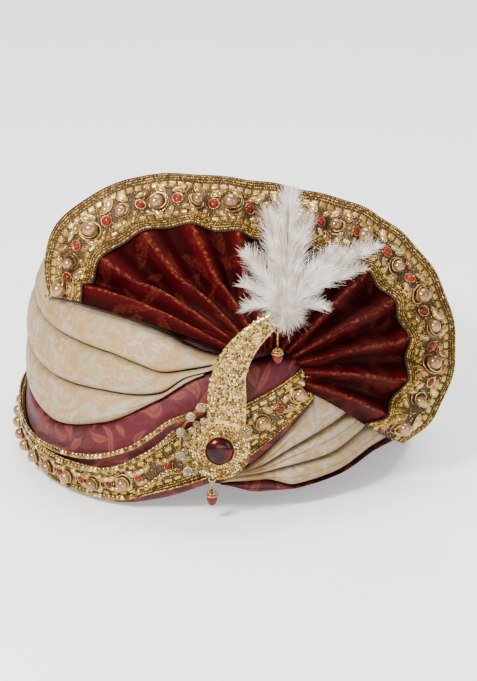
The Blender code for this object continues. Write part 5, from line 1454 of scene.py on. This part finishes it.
# %% Drops
bead_red = clouded(
    "orange red glass", 300.0, 2.0, (0.35, 0.65), (0.066, 0.0006, 0.0004), (0.110, 0.0016, 0.0007),
    Roughness=0.12, Specular_IOR_Level=0.3, Transmission_Weight=0.03)
DROP_CUT = [
    (0, -1.45), (0.38, -1.32), (0.75, -0.92), (0.97, -0.3), (0.99, 0.1), (0.86, 0.45), (0.5, 0.82), (0, 0.95),
]
DROP_BEAD = spun_form(DROP_CUT, 24)
CAP_ROUTE = np.array([(0.98, 0.50), (1.04, 0.72), (0.98, 1.02), (0.74, 1.32), (0.38, 1.54), (0.14, 1.70)])
# the cap's rings, as shares of the bead's radius: (radius, height)
CAP_RINGS = ((0.98, 0.50), (1.04, 0.74), (0.95, 1.08), (0.55, 1.44))
CAP_WIRES, CAP_BEADS_AT, JUMP_RING = 9, (1.04, 0.60), 2 * MM
upright, up = np.eye(3)[None], np.array([0, 0, 1.0])
flat_circle = np.stack([np.cos(circle), np.sin(circle), 0 * circle], -1)
for name, (eye_x, eye_z) in zip(("lower", "upper"), DROP_EYES):
    middle, _ = node_centre(f"{name}_drop_bead")
    middle = middle + up * 0.1 * DROP_RADIUS
    bead_arrays = copies(DROP_BEAD, middle[None], upright, DROP_RADIUS)
    add_piece(f"{name}_bead", bead_arrays, bead_red, [f"{name}_drop_bead"])
    wires = []
    for turned in np.arange(CAP_WIRES) * 2 * np.pi / CAP_WIRES:
        twist = turned + np.linspace(0, 0.35, len(CAP_ROUTE))
        radius = CAP_ROUTE[:, 0] * DROP_RADIUS
        path = np.stack([radius * np.cos(twist), radius * np.sin(twist), CAP_ROUTE[:, 1] * DROP_RADIUS], -1)
        wires.append(tube(middle + path, 0.24 * MM, 5))
    for radius, z in CAP_RINGS:
        cap_ring = middle + (flat_circle * radius + up * z) * DROP_RADIUS
        wires.append(tube(cap_ring, 0.26 * MM, 5, closed=True))
    cap_beads = middle + (flat_circle[::2] * CAP_BEADS_AT[0] + up * CAP_BEADS_AT[1]) * DROP_RADIUS
    wires.append(copies(BEAD, cap_beads, np.repeat(upright, len(cap_beads), 0), 0.5 * MM))
    eye = brooch_point(eye_x * MM, eye_z * MM, BROOCH_THICKNESS / 2)
    ring_middle = eye - up * (EYE_RADIUS * MM + JUMP_RING - 2 * WIRE_RADIUS - GAP)
    hook = np.array([middle + up * 1.6 * DROP_RADIUS, ring_middle - up * JUMP_RING])
    wires.append(tube(hook, WIRE_RADIUS, 8))
    ring_path = np.stack([0 * circle, np.cos(circle), np.sin(circle)], -1) * JUMP_RING
    wires.append(tube(ring_middle + ring_path, WIRE_RADIUS, 8, closed=True))
    add_piece(f"{name}_cap", merged(*wires), gold_wire_finish, [f"{name}_drop_cap"])

# %% Cup chains
CHAIN_STEP, CHAIN_RADIUS, CHAIN_LEAD = 3.6 * MM, 1.25 * MM, 12.0
CUSHION_SIZE, CUSHION_CUP_SIZE, LINK_RADIUS = 1.6 * MM, 1.5 * MM, 0.35 * MM
CUSHION_CUT = [(0, -0.25), (1.10, -0.2), (1.22, 0.15), (0.95, 0.42), (0.55, 0.60), (0, 0.60)]
CUSHION_STONE = spun_form(CUSHION_CUT, 4, math.pi / 4)
CUSHION_CUP = spun_form([(0, -0.6), (1.1, -0.6), (1.46, 0.0), (1.46, 0.20), (1.26, 0.14)], 4, math.pi / 4)
# the side stone that a chain starts at, and its route: azimuth and height in mm
CHAIN_ROUTES = {
    "chain_upper": (
        2, (12, 66), (16, 56), (22, 44), (34, 32), (46, 28), (62, 26), (75, 26.5), (90, 29.5), (178, 31),
    ),
    "chain_middle": (
        3, (14, 50), (18.5, 40), (28, 26), (37, 22.5), (54, 20.3), (75, 21.5), (90, 24.5), (178, 26.3),
    ),
    "chain_lower": (5, (12, 32), (14.5, 26), (19, 15), (23, 8), (30, 5.4), (54, 5.0), (90, 5.2), (178, 5.2)),
}
for name, (stone, *rows) in CHAIN_ROUTES.items():
    start = side_centres[stone - 1] - (STONE_SIZE + SEAT) * BROOCH_RIGHT
    first, last = math.degrees(math.atan2(-start[0], -start[1])), rows[-1][0]
    chain_height = curve_through([(first, start[2] / MM), *rows])
    azimuth = np.linspace(first, last, 900)
    z = chain_height(azimuth) * MM
    rest = LACE_GAP + LACE_THICKNESS + SEAT + CHAIN_RADIUS
    proud = math.hypot(start[0], start[1]) - maroon_radius(first, start[2]) - rest
    lead = np.clip(1 - (azimuth - first) / CHAIN_LEAD, 0, 1)
    path = around(azimuth, maroon_radius(azimuth, z) + rest + proud * lead**2, z)
    gone = np.concatenate([[0], np.cumsum(np.linalg.norm(np.diff(path, axis=0), axis=-1))])
    stops = np.arange(CHAIN_STEP * 0.5, gone[-1], CHAIN_STEP)
    centres = np.stack([np.interp(stops, gone, path[:, axis]) for axis in range(3)], -1)
    along = unit(np.gradient(centres, axis=0))
    outward = centres * np.array([1, 1, 0]) + np.array([0, 0, 0.02])
    turns = turns_to(outward, along)
    stone_arrays = copies(CUSHION_STONE, centres, turns, CUSHION_SIZE)
    add_piece(f"{name}_crystals", stone_arrays, crystal_finish, smooth=False)
    links = tube(path[::6] - unit(path[::6]) * 0.5 * MM, LINK_RADIUS, 6)
    cup_arrays = merged(copies(CUSHION_CUP, centres, turns, CUSHION_CUP_SIZE), links)
    add_piece(f"{name}_cups", cup_arrays, gold_wire_finish, [name], smooth=False)
    print(name, round(float(gone[-1]) / MM), "mm,", len(centres), "crystals")

# %% [markdown]
# ## Plume
# A real plume is a few thin quills with hundreds of soft barbs, on a ball of down. Here every barb is a
# narrow curved strip. They leave the quill on both sides, and get shorter towards its tip and in the down.

# %% Plume
PLUME_HEAD_RADIUS, PLUME_HEIGHT, DOWN_BALL = 7.5 * MM, 80 * MM, 5.2 * MM
BARBS_A_LOCK, FLUFF = 950, 3000
# quills: lean to the side in degrees, length as a share, length of the barbs in mm, lean back in degrees
LOCKS = (
    (2, 1.00, 15, 20), (-9, 0.84, 13, 22), (13, 0.80, 12, 20), (50, 0.93, 12, 20), (57, 0.74, 10, 18),
    (38, 0.66, 12, 16), (-32, 0.58, 12, 16), (-54, 0.42, 10, 8), (-80, 0.34, 9, 6), (80, 0.34, 9, 6),
)


def lock_line(side, back, step):
    """Direction from the plume's root to a share of a quill's length."""
    lean, turned = np.radians(side) * (0.75 + 0.35 * step), np.radians(back) * (0.5 + 0.7 * step)
    return np.stack([np.sin(lean), np.cos(lean) * np.sin(turned), np.cos(lean) * np.cos(turned)], -1)


def strips(starts, directions, bends, widths, lengths, rows=5):
    """Narrow tapering strips, each bent towards its own bend vector."""
    u = np.linspace(0, 1, rows)[None, :, None]
    line = starts[:, None] + (directions[:, None] * u + bends[:, None] * u**2) * lengths[:, None, None]
    facing = unit(np.cross(directions, np.array([0.2, 0.95, 0.1])))[:, None]
    half = widths[:, None, None] * (1 - 0.8 * u**1.5) / 2
    points = np.stack([line - facing * half, line + facing * half], 2).reshape(-1, 3)
    quads = grid_corners(rows, 2)
    offset = np.arange(len(starts))[:, None] * rows * 2
    return points, (quads.ravel()[None] + offset).ravel(), np.full(len(starts) * len(quads), 4)


down_finish = clouded(
    "white down", 90.0, 3.0, (0.35, 0.7), (0.46, 0.37, 0.29), (0.78, 0.76, 0.72),
    Roughness=0.85, Sheen_Weight=0.4)

rng = np.random.default_rng(61)
tip, before = np.array(STEM[-1][:2]), np.array(STEM[-2][:2])
plume_middle = tip * MM + (tip - before) / np.linalg.norm(tip - before) * (PLUME_HEAD_RADIUS + SEAT)
plume_root = brooch_point(*plume_middle, BROOCH_THICKNESS / 2)
plume_parts = []
for side, length_share, width, back in LOCKS:
    length = length_share * PLUME_HEIGHT
    count = int(BARBS_A_LOCK * length_share * width / 12)
    step = rng.uniform(0.06, 1.0, count) ** 0.85
    run = lock_line(side, back, step)
    starts = plume_root + run * (length * step)[:, None]
    across = unit(np.cross(run, np.array([0, -1.0, 0])))
    sign = np.where(rng.uniform(size=count) < 0.5, -1.0, 1.0)[:, None]
    spread = np.radians(rng.uniform(8, 36, count))[:, None]
    forward = rng.normal(0, 0.25, (count, 1)) * np.array([0, -1.0, 0])
    directions = unit(run * np.cos(spread) + across * sign * np.sin(spread) + forward)
    bends = run * rng.uniform(-0.05, 0.30, (count, 1)) + rng.normal(0, 0.16, (count, 3))
    bends = bends + across * sign * 0.10
    swell = np.interp(step, [0, 0.15, 0.5, 0.85, 1.0], [0.7, 1.0, 1.0, 0.75, 0.25])
    lengths = width * MM * swell * rng.uniform(0.65, 1.25, count)
    plume_parts.append(strips(starts, directions, bends, rng.uniform(0.12, 0.34, count) * MM, lengths))
    quill_steps = np.linspace(0.02, 0.97, 14)
    quill = plume_root + lock_line(side, back, quill_steps) * (length * quill_steps)[:, None]
    plume_parts.append(tube(quill, np.linspace(0.45, 0.12, 14) * MM, 5))
directions = unit(rng.normal(size=(FLUFF, 3)))
starts = plume_root + directions * rng.uniform(1.5, 6.5, (FLUFF, 1)) * MM
bends = rng.normal(0, 0.35, (FLUFF, 3))
widths, lengths = rng.uniform(0.12, 0.30, FLUFF) * MM, rng.uniform(4.5, 9.5, FLUFF) * MM
plume_parts.append(strips(starts, directions, bends, widths, lengths))
plume_parts.append(copies(ball_form(10, 16), plume_root[None], upright, DOWN_BALL))
add_piece("plume_feathers", merged(*plume_parts), down_finish, ["plume"])

# %% The clasp behind the head keeps its CAD shape
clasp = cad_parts["chain_clasp"]
for slot in clasp.material_slots:
    slot.link = "OBJECT"
    slot.material = gold_wire_finish
print("clasp finished in gold wire metal")
